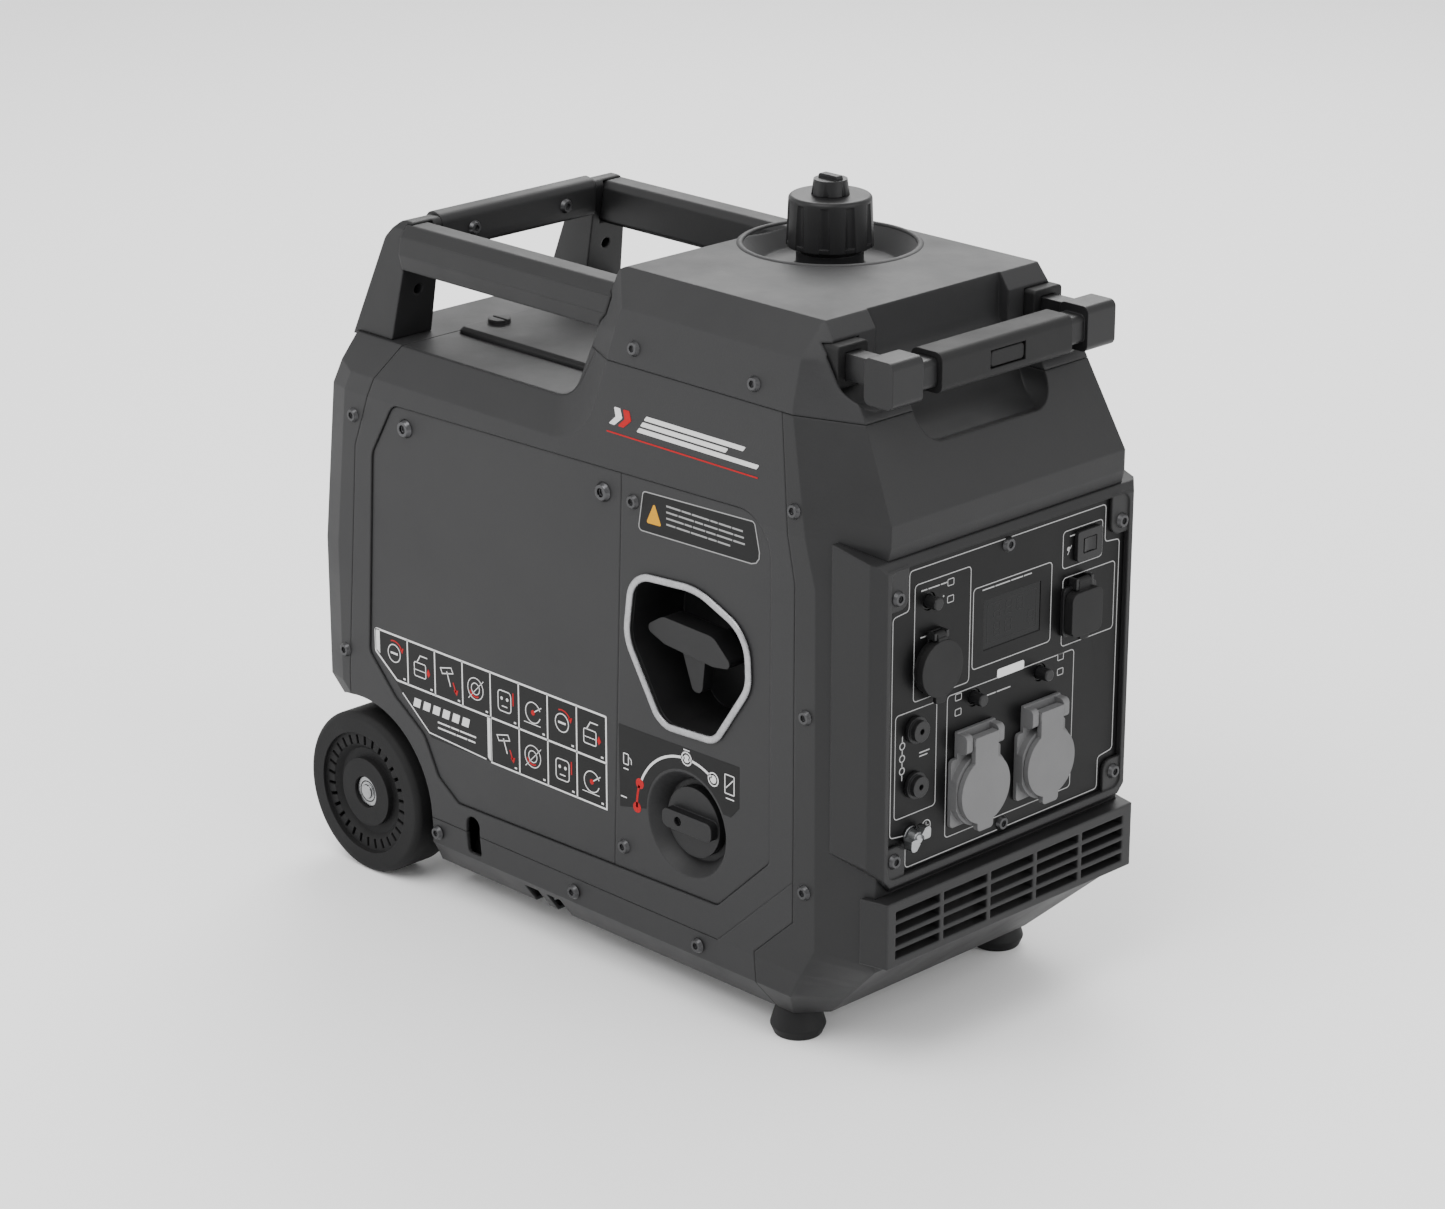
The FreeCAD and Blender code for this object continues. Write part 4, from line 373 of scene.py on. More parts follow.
def make_materials():
    f = finish()
    M = MATERIALS
    M["case"] = moulding("Charcoal case moulding", f.case, 0.5)
    # lighter copy of the case plastic for the bevel faces: a painted highlight along the rounded edges
    M["case_edge_highlight"] = moulding("Charcoal edge with painted highlight", [c * 1.25 for c in f.case], 0.42, depth=0.1)
    M["front"] = moulding("Darker front moulding", f.front, 0.48)
    # lighter copy of the front plastic for the bevel faces: a painted highlight along the rounded
    # edges
    M["front_edge_highlight"] = moulding("Darker front edge with painted highlight", [c * 1.3 for c in f.front], 0.4, depth=0.1)
    M["dark"] = moulding("Black trim moulding", f.dark, 0.42, grain=0.0007, soft=0.0008)
    # lighter copy of the black trim for the bevel faces: a painted highlight along the rounded edges
    M["dark_edge_highlight"] = moulding("Black trim edge with painted highlight", [c * 1.4 for c in f.dark], 0.36, soft=0.0006)
    M["panel"] = moulding("Printed panel plate", f.panel, 0.4, grain=0.0005, depth=0.12,
                          soft=0.0004, dust=0.005, level=0.14)
    M["socket"] = moulding("Grey socket moulding", f.socket, 0.42, grain=0.0008, depth=0.12,
                           soft=0.0008, dust=0.02)
    M["rubber"] = moulding("Moulded rubber", f.rubber, 0.58, grain=0.0006, depth=0.3,
                           soft=0.001, dust=0.03, level=0.2)
    M["tyre"] = moulding("Tyre rubber", f.rubber, 0.66, grain=0.0012, depth=0.4, soft=0.001,
                         dust=0.04, level=0.18, cloud=0.16)
    M["hub"] = moulding("Wheel hub moulding", f.dark, 0.45, grain=0.0008, soft=0.0008, dust=0.03)
    M["silver"] = metal("Satin silver trim", (0.34, 0.34, 0.35), 0.24, 500.0, (1, 1, 1), 0.05,
                        soft=0.0026)
    M["zinc"] = metal("Zinc plated steel", (0.30, 0.305, 0.31), 0.26, 400.0, (1, 1, 6))
    M["screw"] = metal("Blued steel screw", (0.075, 0.075, 0.078), 0.24, 500.0, (6, 1, 1))
    M["black_zinc"] = metal("Black zinc screw", (0.05, 0.05, 0.052), 0.28, 500.0, (6, 1, 1),
                            metallic=0.7)
    M["aluminium"] = metal("Sand cast aluminium", (0.48, 0.48, 0.49), 0.5, 900.0, (1, 1, 1), 0.5)
    M["forged"] = metal("Machined steel", (0.36, 0.36, 0.37), 0.3, 300.0, (12, 1, 1))
    M["hot"] = metal("Heat tinted steel", (0.24, 0.20, 0.17), 0.42, 220.0, (1, 1, 3), 0.2)
    M["coat"] = moulding("Black powder coat", (0.016, 0.016, 0.017), 0.4, grain=0.0011, soft=0.001)
    M["copper"] = metal("Lacquered copper", (0.45, 0.18, 0.07), 0.3, 700.0, (12, 1, 1), 0.4)
    M["lens"] = lens_material()
    M["rope"] = moulding("Braided nylon rope", (0.03, 0.03, 0.032), 0.7, grain=0.0004, depth=0.6,
                         soft=0.0, dust=0.0, level=0.3)
    M["ink"] = ink("White print", f.ink)
    M["plate_ink"] = ink("Pale grey print", [c * 0.55 for c in f.ink])
    M["grey_ink"] = ink("Grey print", [c * 0.42 for c in f.ink])
    M["red_ink"] = ink("Red print", f.accent)
    M["yellow_ink"] = ink("Yellow print", (0.50, 0.24, 0.0))
    M["film"] = ink("Black label film", (0.003, 0.003, 0.0032), 0.4)
    M["ghost"] = ink("Unlit segments", (0.007, 0.0072, 0.0075), 0.3)


# ---------------------------------------------------------------- frame nodes and mesh helpers
JOIN = 0.00002              # corners nearer than this are one
FLAT = 0.6                  # faces within these degrees are one flat
CREASE = 32.0               # edges over these degrees are rounded
SHARP = 35.0                # edges over these degrees stay sharp on the added pieces


def dress(node, base, edge=None, bevel=0.0, segments=2):
    """Give a node of the frame its finish, and round its edges; the edge finish, a lighter copy of the
    base, goes on the bevel faces as a painted highlight.
    """
    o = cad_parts[node]
    o.data.materials.clear()
    o.data.materials.append(MATERIALS[base])
    if edge:
        o.data.materials.append(MATERIALS[edge])
    weld = o.modifiers.new("Join corners", "WELD")
    weld.merge_threshold = JOIN
    if bevel:
        flat = o.modifiers.new("Join flats", "DECIMATE")
        flat.decimate_type = "DISSOLVE"
        flat.angle_limit = math.radians(FLAT)
        cut = o.modifiers.new("Soft edge", "BEVEL")
        cut.width = bevel
        cut.segments = segments
        cut.limit_method = "ANGLE"
        cut.angle_limit = math.radians(CREASE)
        cut.use_clamp_overlap = True
        cut.harden_normals = True
        # the bevel faces take slot 1, the lighter edge finish that paints a highlight on the rounded
        # edges
        cut.material = 1 if edge else -1
    shade = o.modifiers.new("Even shading", "WEIGHTED_NORMAL")
    shade.keep_sharp = True
    shade.weight = 60
    return o


def piece(name, bm, material, body, smooth=True):
    """Mesh object from a bmesh, riding on a body."""
    mesh = bpy.data.meshes.new(name)
    bmesh.ops.recalc_face_normals(bm, faces=bm.faces)
    bm.to_mesh(mesh)
    bm.free()
    o = bpy.data.objects.new(name, mesh)
    bpy.context.scene.collection.objects.link(o)
    for m in material if isinstance(material, (list, tuple)) else [material]:
        mesh.materials.append(MATERIALS[m])
    if smooth:
        mesh.shade_smooth()
        mesh.set_sharp_from_angle(angle=math.radians(SHARP))
    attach(o, body)
    return o


def on_panel(u, v, h=0.0):
    """Point on the control panel: u to the right, v up and h out, in millimetres."""
    return Vector((PANEL_X + h * MM, u * MM, v * MM))


def on_side(u, v, h=0.0):
    """Point on the flush side panel."""
    return Vector((u * MM, DOOR_Y - h * MM, v * MM))


def on_lean(u, v, h=0.0):
    """Point on the leaning band of the left cover."""
    return Vector((u * MM, (-140.0 + 16.0 * (v - 384.0) / 116.0 - h) * MM, v * MM))


def round_path(points, steps=5):
    """Polygon from (u, v, radius) corners."""
    made = []
    for i, p in enumerate(points):
        here = Vector(p[:2])
        radius = p[2] if len(p) > 2 else 0.0
        if radius <= 0:
            made.append(here)
            continue
        a = (Vector(points[i - 1][:2]) - here).normalized()
        b = (Vector(points[(i + 1) % len(points)][:2]) - here).normalized()
        half = a.angle(b) / 2
        reach = radius / math.tan(half)
        centre = here + (a + b).normalized() * radius / math.sin(half)
        start, end = here + a * reach - centre, here + b * reach - centre
        turn = start.angle_signed(end)
        for k in range(steps + 1):
            made.append(centre + Matrix.Rotation(-turn * k / steps, 2) @ start)
    return made


def around(u, v, radius, angle):
    """Point on a circle, at an angle in degrees."""
    turn = math.radians(angle)
    return u + radius * math.cos(turn), v + radius * math.sin(turn)


def frame_path(u0, u1, v0, v1, radius):
    return round_path([(u0, v0, radius), (u1, v0, radius), (u1, v1, radius), (u0, v1, radius)])


class Print:
    """Thin raised film made of lines and areas on a mapped plane."""

    def __init__(self, place, low=-0.05, high=None):
        self.bm = bmesh.new()
        self.place = place
        self.low = low
        self.high = detail().film / MM if high is None else high

    def area(self, outline):
        bottom = [self.bm.verts.new(self.place(p[0], p[1], self.low)) for p in outline]
        top = [self.bm.verts.new(self.place(p[0], p[1], self.high)) for p in outline]
        self.bm.faces.new(top)
        self.bm.faces.new(list(reversed(bottom)))
        for i in range(len(top)):
            j = (i + 1) % len(top)
            self.bm.faces.new([bottom[i], bottom[j], top[j], top[i]])
        return self

    def line(self, points, width=None, closed=False):
        half = (width or detail().line / MM) / 2
        pts = [Vector(p[:2]) for p in points]
        count = len(pts)
        left, right = [], []
        for i, p in enumerate(pts):
            before = pts[i - 1] if i or closed else p - (pts[1] - p)
            after = pts[(i + 1) % count] if i < count - 1 or closed else p + (p - pts[i - 1])
            a, b = (p - before).normalized(), (after - p).normalized()
            across = Vector((-(a + b).y, (a + b).x))
            if across.length < 1e-6:
                across = Vector((-a.y, a.x))
            across.normalize()
            grow = half / max(0.35, across.dot(Vector((-a.y, a.x))))
            left.append(p + across * grow)
            right.append(p - across * grow)
        rings = []
        for a, b in zip(left, right):
            rings.append([self.bm.verts.new(self.place(q.x, q.y, h))
                          for q, h in ((a, self.low), (b, self.low), (b, self.high), (a, self.high))])
        pairs = list(zip(rings, rings[1:])) + ([(rings[-1], rings[0])] if closed else [])
        for r, s in pairs:
            for i in range(4):
                j = (i + 1) % 4
                self.bm.faces.new([r[i], r[j], s[j], s[i]])
        if not closed:
            self.bm.faces.new(rings[0])
            self.bm.faces.new(list(reversed(rings[-1])))
        return self

    def arc(self, u, v, radius, start, end, width=None, steps=24):
        closed = abs(end - start) >= 359.9
        count = steps if closed else steps + 1
        points = [around(u, v, radius, start + (end - start) * k / steps) for k in range(count)]
        return self.line(points, width, closed)

    def dot(self, u, v, radius, steps=20):
        return self.area([(u + radius * math.cos(2 * math.pi * k / steps),
                           v + radius * math.sin(2 * math.pi * k / steps)) for k in range(steps)])

    def bars(self, u, v, lengths, pitch=2.6, height=0.9):
        """Rows of plain dashes in place of small print."""
        for row, runs in enumerate(lengths):
            x = u
            for run in runs:
                z = v - row * pitch
                self.area([(x, z), (x + run, z), (x + run, z + height), (x, z + height)])
                x += run + 1.0
        return self

    def done(self, name, material, body, node=None):
        return piece(name, self.bm, material, body, smooth=False)


def spin_profile(bm, profile, centre, axis, steps=48):
    """Revolve (radius, height) pairs round an axis through a centre, in millimetres."""
    axis = Vector(axis).normalized()
    side = axis.orthogonal().normalized()
    up = axis.cross(side)
    rings = []
    for radius, height in profile:
        at = Vector(centre) + axis * height
        if radius < 1e-6:
            rings.append([bm.verts.new(at * MM)])
            continue
        rings.append([bm.verts.new((at + (side * math.cos(2 * math.pi * k / steps)
                                          + up * math.sin(2 * math.pi * k / steps)) * radius) * MM)
                      for k in range(steps)])
    for a, b in zip(rings, rings[1:]):
        if len(a) == 1 and len(b) == 1:
            continue
        for k in range(steps):
            j = (k + 1) % steps
            if len(a) == 1:
                bm.faces.new([a[0], b[j], b[k]])
            elif len(b) == 1:
                bm.faces.new([a[k], a[j], b[0]])
            else:
                bm.faces.new([a[k], a[j], b[j], b[k]])
    return bm


# ---------------------------------------------------------------- operators
class GENERATOR_OT_finishes(bpy.types.Operator):
    """Make the finishes that all pieces share"""

    bl_idname = "generator.finishes"
    bl_label = "Finishes"

    def execute(self, context):
        make_materials()
        return {"FINISHED"}


class GENERATOR_OT_case(bpy.types.Operator):
    """Dress the moulded case covers"""

    bl_idname = "generator.case"
    bl_label = "Case covers"

    def execute(self, context):
        for node in ("left_side_cover", "right_side_cover", "rear_cover", "base_pan",
                     "tank_cover", "rear_deck"):
            dress(node, "case", "case_edge_highlight", 0.0005)
        dress("front_frame", "front", "front_edge_highlight", 0.0005)
        for node in ("intake_grille", "panel_bezel"):
            dress(node, "front", "front_edge_highlight", 0.0006)
        for node in ("service_door", "recoil_panel"):
            dress(node, "case", "case_edge_highlight", 0.0005)
        dress("top_hatch", "front", "front_edge_highlight", 0.0005)
        dress("recoil_cup", "dark", "dark_edge_highlight", 0.0004)
        dress("recoil_trim", "silver", None, 0.0010, 3)
        return {"FINISHED"}


class GENERATOR_OT_handles(bpy.types.Operator):
    """Dress the carry frame and the pull handle"""

    bl_idname = "generator.handles"
    bl_label = "Handles"

    def execute(self, context):
        for node in ("handle_uprights", "rear_cross_bar", "side_rails"):
            dress(node, "front", "front_edge_highlight", 0.0012, 3)
        dress("handle_arms", "dark", "dark_edge_highlight", 0.001, 3)
        for node in ("handle_grip", "handle_button", "handle_bushings"):
            dress(node, "rubber", None, 0.0008, 3)
        return {"FINISHED"}


class GENERATOR_OT_panel(bpy.types.Operator):
    """Dress the control panel and everything on it"""

    bl_idname = "generator.panel"
    bl_label = "Control panel"

    def execute(self, context):
        dress("control_panel", "panel")
        dress("display_window", "lens")
        for node in ("panel_fittings", "eco_rocker", "ac_breaker_1", "ac_breaker_2", "dc_breaker",
                     "dc_socket"):
            dress(node, "dark", "dark_edge_highlight", 0.0004)
        for node in ("ac_sockets", "ac_lid_1", "ac_lid_2"):
            dress(node, "socket", None, 0.0006, 3)
        for node in ("usb_cover", "dc_cap"):
            dress(node, "rubber", None, 0.0007, 3)
        dress("ground_stud", "zinc", None, 0.0002)
        dress("wing_nut", "zinc", None, 0.0005, 3)
        return {"FINISHED"}


class GENERATOR_OT_starter(bpy.types.Operator):
    """Dress the starter grip and the engine dial, and lay up the starter rope"""

    bl_idname = "generator.starter"
    bl_label = "Starter and dial"

    def execute(self, context):
        dress("recoil_grip", "dark", "dark_edge_highlight", 0.001, 3)
        dress("engine_dial", "dark", "dark_edge_highlight", 0.0008, 3)
        low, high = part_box("starter_rope")
        centre = (low + high) / 2
        count = detail().strands
        radius = detail().rope / 2
        strand = radius * 0.52
        start, end = low.y, high.y
        bm = bmesh.new()
        steps, sides = 60, 8
        for s in range(count):
            rings = []
            for k in range(steps + 1):
                t = k / steps
                angle = 2 * math.pi * (s / count + t * (end - start) / 0.014)
                middle = Vector((math.cos(angle), 0, math.sin(angle))) * (radius - strand)
                at = Vector((centre.x, start + (end - start) * t, centre.z)) + middle
                rings.append([bm.verts.new(at + Vector((math.cos(a), 0, math.sin(a))) * strand)
                              for a in [2 * math.pi * q / sides for q in range(sides)]])
            for a, b in zip(rings, rings[1:]):
                for q in range(sides):
                    r = (q + 1) % sides
                    bm.faces.new([a[q], a[r], b[r], b[q]])
            bm.faces.new(rings[0])
            bm.faces.new(list(reversed(rings[-1])))
        mesh = bpy.data.meshes.new("starter_rope_strands")
        bmesh.ops.recalc_face_normals(bm, faces=bm.faces)
        bm.to_mesh(mesh)
        bm.free()
        rope = bpy.data.objects.new("starter_rope_strands", mesh)
        bpy.context.scene.collection.objects.link(rope)
        mesh.materials.append(MATERIALS["rope"])
        mesh.shade_smooth()
        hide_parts("starter_rope")
        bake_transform(rope)
        return {"FINISHED"}


class GENERATOR_OT_fuel(bpy.types.Operator):
    """Dress the fuel cap and its vent knob, and roll a lip round the filler bowl"""

    bl_idname = "generator.fuel"
    bl_label = "Fuel cap"

    def execute(self, context):
        dress("fuel_cap", "dark", "dark_edge_highlight", 0.0006, 3)
        dress("vent_knob", "dark", "dark_edge_highlight", 0.0005, 3)
        low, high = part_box("fuel_cap")
        middle = (low + high) / (2 * MM)
        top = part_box("tank_cover")[1].z / MM
        bm = bmesh.new()
        lip = [(61.2, -0.9), (61.4, 0.2), (62.1, 0.9), (63.2, 1.2), (64.3, 1.0), (65.4, 0.4),
               (66.2, -0.2), (66.2, -0.9), (61.2, -0.9)]
        spin_profile(bm, lip, (middle.x, middle.y, top), (0, 0, 1), 96)
        bmesh.ops.remove_doubles(bm, verts=bm.verts, dist=1e-7)
        piece("filler_bowl_lip", bm, "case", CASE)
        return {"FINISHED"}


class GENERATOR_OT_wheels(bpy.types.Operator):
    """Dress the wheels, axle and feet"""

    bl_idname = "generator.wheels"
    bl_label = "Wheels and feet"

    def execute(self, context):
        for node in ("wheel_left", "wheel_right"):
            dress(node, "tyre", None, 0.0006)
        dress("axle", "zinc", None, 0.0006)
        low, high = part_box("axle")
        middle = (low + high) / (2 * MM)
        for name, side, face in (("left", -1, low.y), ("right", 1, high.y)):
            bm = bmesh.new()
            ring = [(5.9, -2.6), (6.6, -2.0), (8.6, -1.8), (9.4, -2.6), (11.6, -4.4), (12.2, -5.0)]
            spin_profile(bm, ring + [(12.2, -5.6), (5.9, -5.6), (5.9, -2.6)],
                         (middle.x, face / MM, middle.z), (0, side, 0), 40)
            bmesh.ops.remove_doubles(bm, verts=bm.verts, dist=1e-7)
            piece("axle_washer_" + name, bm, "hub", CASE)
        dress("front_feet", "rubber", None, 0.0008, 3)
        return {"FINISHED"}


class GENERATOR_OT_inside(bpy.types.Operator):
    """Dress the engine, tank, exhaust and inverter"""

    bl_idname = "generator.inside"
    bl_label = "Inside"

    def execute(self, context):
        for node, base in {
                "fuel_tank": "coat", "engine_block": "aluminium", "cylinder_head": "aluminium",
                "spark_plug": "zinc", "crankshaft": "forged", "rotor": "forged",
                "stator": "copper", "recoil_pulley": "forged", "recoil_housing": "coat",
                "carburettor": "aluminium", "air_filter_box": "dark", "muffler": "hot",
                "inverter_module": "aluminium"}.items():
            dress(node, base, None, 0.0005)
        return {"FINISHED"}


class GENERATOR_OT_screws(bpy.types.Operator):
    """Dress the case screws and the door screws"""

    bl_idname = "generator.screws"
    bl_label = "Screws"

    def execute(self, context):
        dress("case_screws", "black_zinc", None, 0.0002)
        dress("door_screws", "screw", None, 0.0005, 3)
        return {"FINISHED"}


class GENERATOR_OT_panel_prints(bpy.types.Operator):
    """Lay the white frames and marks on the control panel"""

    bl_idname = "generator.panel_prints"
    bl_label = "Panel prints"

    def execute(self, context):
        p = Print(on_panel)
        outer = []
        for su, sv in ((1, 1), (1, -1), (-1, -1), (-1, 1)):
            corner = [(su * 99.5, 365.5 if sv > 0 else 153, 3), (su * 99.5, 338 if sv > 0 else 177, 3),
                      (su * 115, 336.5 if sv > 0 else 179, 3)]
            outer += corner if su * sv > 0 else corner[::-1]
        p.line(round_path(outer, 3), 0.7, True)
        for u0, u1, v0, v1 in ((-94, -39, 271.5, 354.5), (55, 96.5, 328.5, 355.5),
                               (56, 111, 271.5, 321.5), (-60, 70, 163, 266.5),
                               (-111, -70.5, 191, 266), (-36, 44, 279, 337)):
            p.line(frame_path(u0, u1, v0, v1, 3), 0.65, True)
        Print(on_panel, 0.0, 0.2).area(frame_path(-10, 17.5, 266, 272.5, 1.5)).done(
            "panel_tag", "ink", CASE, "control_panel")
        p.bars(-88, 348.5, [(6, 11, 7)]).bars(-88, 315.5, [(5, 9, 5)])
        p.bars(62, 350.5, [(9, 5)]).bars(78, 317.5, [(8,)])
        p.bars(-27, 333.6, [(12, 15, 12, 8)]).bars(-20, 256, [(9, 14)])
        p.bars(-87, 233, [(10,), (8,)])
        for u, v in ((-62, 346), (-62, 334), (-52, 270 - 9), (-52, 250), (53, 262), (53, 251)):
            p.line(frame_path(u, u + 6, v, v + 4.6, 0.8), 0.6, True)
        p.dot(-66, 340, 0.7).dot(61, 342, 1.6).line([(60, 338), (64, 344)], 0.6)
        for v in (243, 234, 225):
            p.arc(-104, v, 2.4, 0, 360, 0.8)
        p.line([(-104, 246), (-104, 250)], 0.8).line([(-104, 222), (-104, 218)], 0.8)
        p.line([(-104, 240.6), (-104, 236.4)], 0.8).line([(-104, 231.6), (-104, 227.4)], 0.8)
        p.arc(-79, 178, 4.2, 0, 360, 0.7)
        for i, half in enumerate((2.4, 1.6, 0.8)):
            p.line([(-79 - half, 178.2 - i * 1.1), (-79 + half, 178.2 - i * 1.1)], 0.5)
        p.line([(-79, 181), (-79, 178.2)], 0.5)
        p.done("panel_print", "plate_ink", CASE, "control_panel")
        return {"FINISHED"}


class GENERATOR_OT_display(bpy.types.Operator):
    """Lay faint unlit segments and a bezel line in the display"""

    bl_idname = "generator.display"
    bl_label = "Display"

    def execute(self, context):
        low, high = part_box("display_window")
        y0, y1 = low.y / MM + 6, high.y / MM - 6
        z0, z1 = low.z / MM + 6, high.z / MM - 6
        p = Print(on_panel, -0.6, -0.32)
        p.line(frame_path(y0 + 2, y1 - 2, z0 + 2, z1 - 2, 2), 0.5, True)
        for row, z in enumerate((z1 - 13, z1 - 26)):
            for k in range(4):
                u = y0 + 9 + k * 11.5
                for a, b in (((0, 0), (6, 0)), ((0, 4.5), (6, 4.5)), ((0, 9), (6, 9)),
                             ((0, 0), (0, 4.5)), ((6, 0), (6, 4.5)), ((0, 4.5), (0, 9)),
                             ((6, 4.5), (6, 9))):
                    if (k + row) % 4 != 3:
                        p.line([(u + a[0] + (b[0] - a[0]) * 0.12, z + a[1] + (b[1] - a[1]) * 0.12),
                                (u + b[0] - (b[0] - a[0]) * 0.12, z + b[1] - (b[1] - a[1]) * 0.12)],
                               0.7)
        p.done("display_segments", "ghost", CASE, "display_window")
        return {"FINISHED"}


def pictogram(white, red, u, v, kind):
    """Small line picture of one starting step, inside a 26 mm square."""
    if kind == 0:
        white.arc(u, v, 7, 0, 360, 0.8).line([(u - 4, v), (u + 4, v)], 1.6)
        red.arc(u, v, 10, 30, 110, 1.0).area([(u + 9.5, v + 2), (u + 6.5, v + 5.5), (u + 11, v + 6.5)])
    elif kind == 1:
        white.line(frame_path(u - 8, u + 5, v - 8, v + 3, 1.5), 0.8, True)
        white.line([(u - 5, v + 3), (u - 1, v + 9), (u + 7, v + 9)], 0.9)
        white.line([(u - 8, v - 3), (u + 5, v - 3)], 0.6)
        red.area([(u + 8, v + 1), (u + 10, v - 3), (u + 8, v - 6), (u + 6, v - 3)])
    elif kind == 2:
        white.line([(u - 9, v + 6), (u + 3, v + 9), (u + 5, v + 5), (u - 7, v + 2)], 0.8, True)
        white.line([(u - 2, v + 5), (u + 2, v - 6)], 1.0)
        red.line([(u + 5, v - 2), (u + 8, v - 9)], 1.2)
        red.area([(u + 9, v - 11.5), (u + 5.6, v - 8), (u + 10.6, v - 6.8)])
    elif kind == 3:
        white.arc(u - 1, v, 8.5, 0, 360, 0.7).arc(u - 1, v, 4.5, 0, 360, 0.7)
        white.line([(u - 9, v - 9), (u + 8, v + 8)], 0.6)
        red.arc(u - 1, v, 6.4, 200, 300, 1.2)
    elif kind == 4:
        white.line(frame_path(u - 7, u + 7, v - 9, v + 7, 3), 0.8, True)
        white.dot(u - 3, v + 1, 1.3).dot(u + 3, v + 1, 1.3)
        white.line([(u - 3, v - 5), (u + 3, v - 5)], 0.8)
        red.line([(u + 9.5, v + 8), (u + 9.5, v - 2)], 1.1)
    else:
        white.arc(u, v - 1, 8, 20, 340, 0.8).line([(u, v - 1), (u + 9, v + 5)], 0.8)
        white.line([(u - 10, v - 10), (u + 8, v - 10)], 0.6)
        red.dot(u, v - 1, 2.0)


class GENERATOR_OT_step_label(bpy.types.Operator):
    """Lay the picture label of the starting steps on the service door"""

    bl_idname = "generator.step_label"
    bl_label = "Starting step label"

    def execute(self, context):
        left, right, top, middle, bottom = -220, 34.5, 202, 166.5, 131
        label = Print(on_side, -0.05, 0.08)
        outline = round_path([(left, top, 2), (left, 184, 2), (left + 22, middle - 1, 3),
                              (-190, 158, 3), (-158, bottom, 3), (right, bottom, 1),
                              (right, top, 1)], 3)
        label.area(outline)
        label.done("step_label_film", "film", "door", "service_door")
        white = Print(on_side, 0.0, 0.16)
        red = Print(on_side, 0.0, 0.2)
        white.line(round_path([(left, top, 2), (left, 184, 2), (left + 24, middle, 3),
                               (right - 0.5, middle, 0), (right - 0.5, top, 1)], 3), 1.5, True)
        cell = (right - 0.5 - left - 6) / 8
        white.area([(left, top), (left + 5, top), (left + 5, 183), (left, 186)])
        for k in range(8):
            u0 = left + 6 + k * cell
            if k:
                white.line([(u0, middle), (u0, top)], 1.3)
            pictogram(white, red, u0 + cell / 2, (top + middle) / 2 + (3 if k == 0 else 0), k % 6)
            white.bars(u0 + cell - 5.5, middle + 2.4, [(2.4,)], 1, 1.4)
        start = right - 0.5 - 4 * cell
        white.line([(start, middle), (start, bottom), (right - 0.5, bottom),
                    (right - 0.5, middle)], 1.3)
        white.area([(start - 4, middle), (start, middle), (start, bottom), (start - 4, bottom + 3)])
        for k in range(4):
            u0 = start + k * cell
            if k:
                white.line([(u0, bottom), (u0, middle)], 1.3)
            pictogram(white, red, u0 + cell / 2, (bottom + middle) / 2, (k + 2) % 6)
            white.bars(u0 + cell - 5.5, bottom + 2.4, [(2.4,)], 1, 1.4)
        for k in range(6):
            u = -178 + k * 11
            white.area([(u, 151), (u + 7.5, 151), (u + 9.5, 158), (u + 2, 158)])
        white.line([(-190, 158), (-160, 134.5), (start - 6, 131.8)], 1.0)
        white.bars(-150, 145, [(14, 9, 18), (20, 12, 8)], 4.4, 1.3)
        white.done("step_label_print", "ink", "door", "service_door")
        red.done("step_label_marks", "red_ink", "door", "service_door")
        return {"FINISHED"}


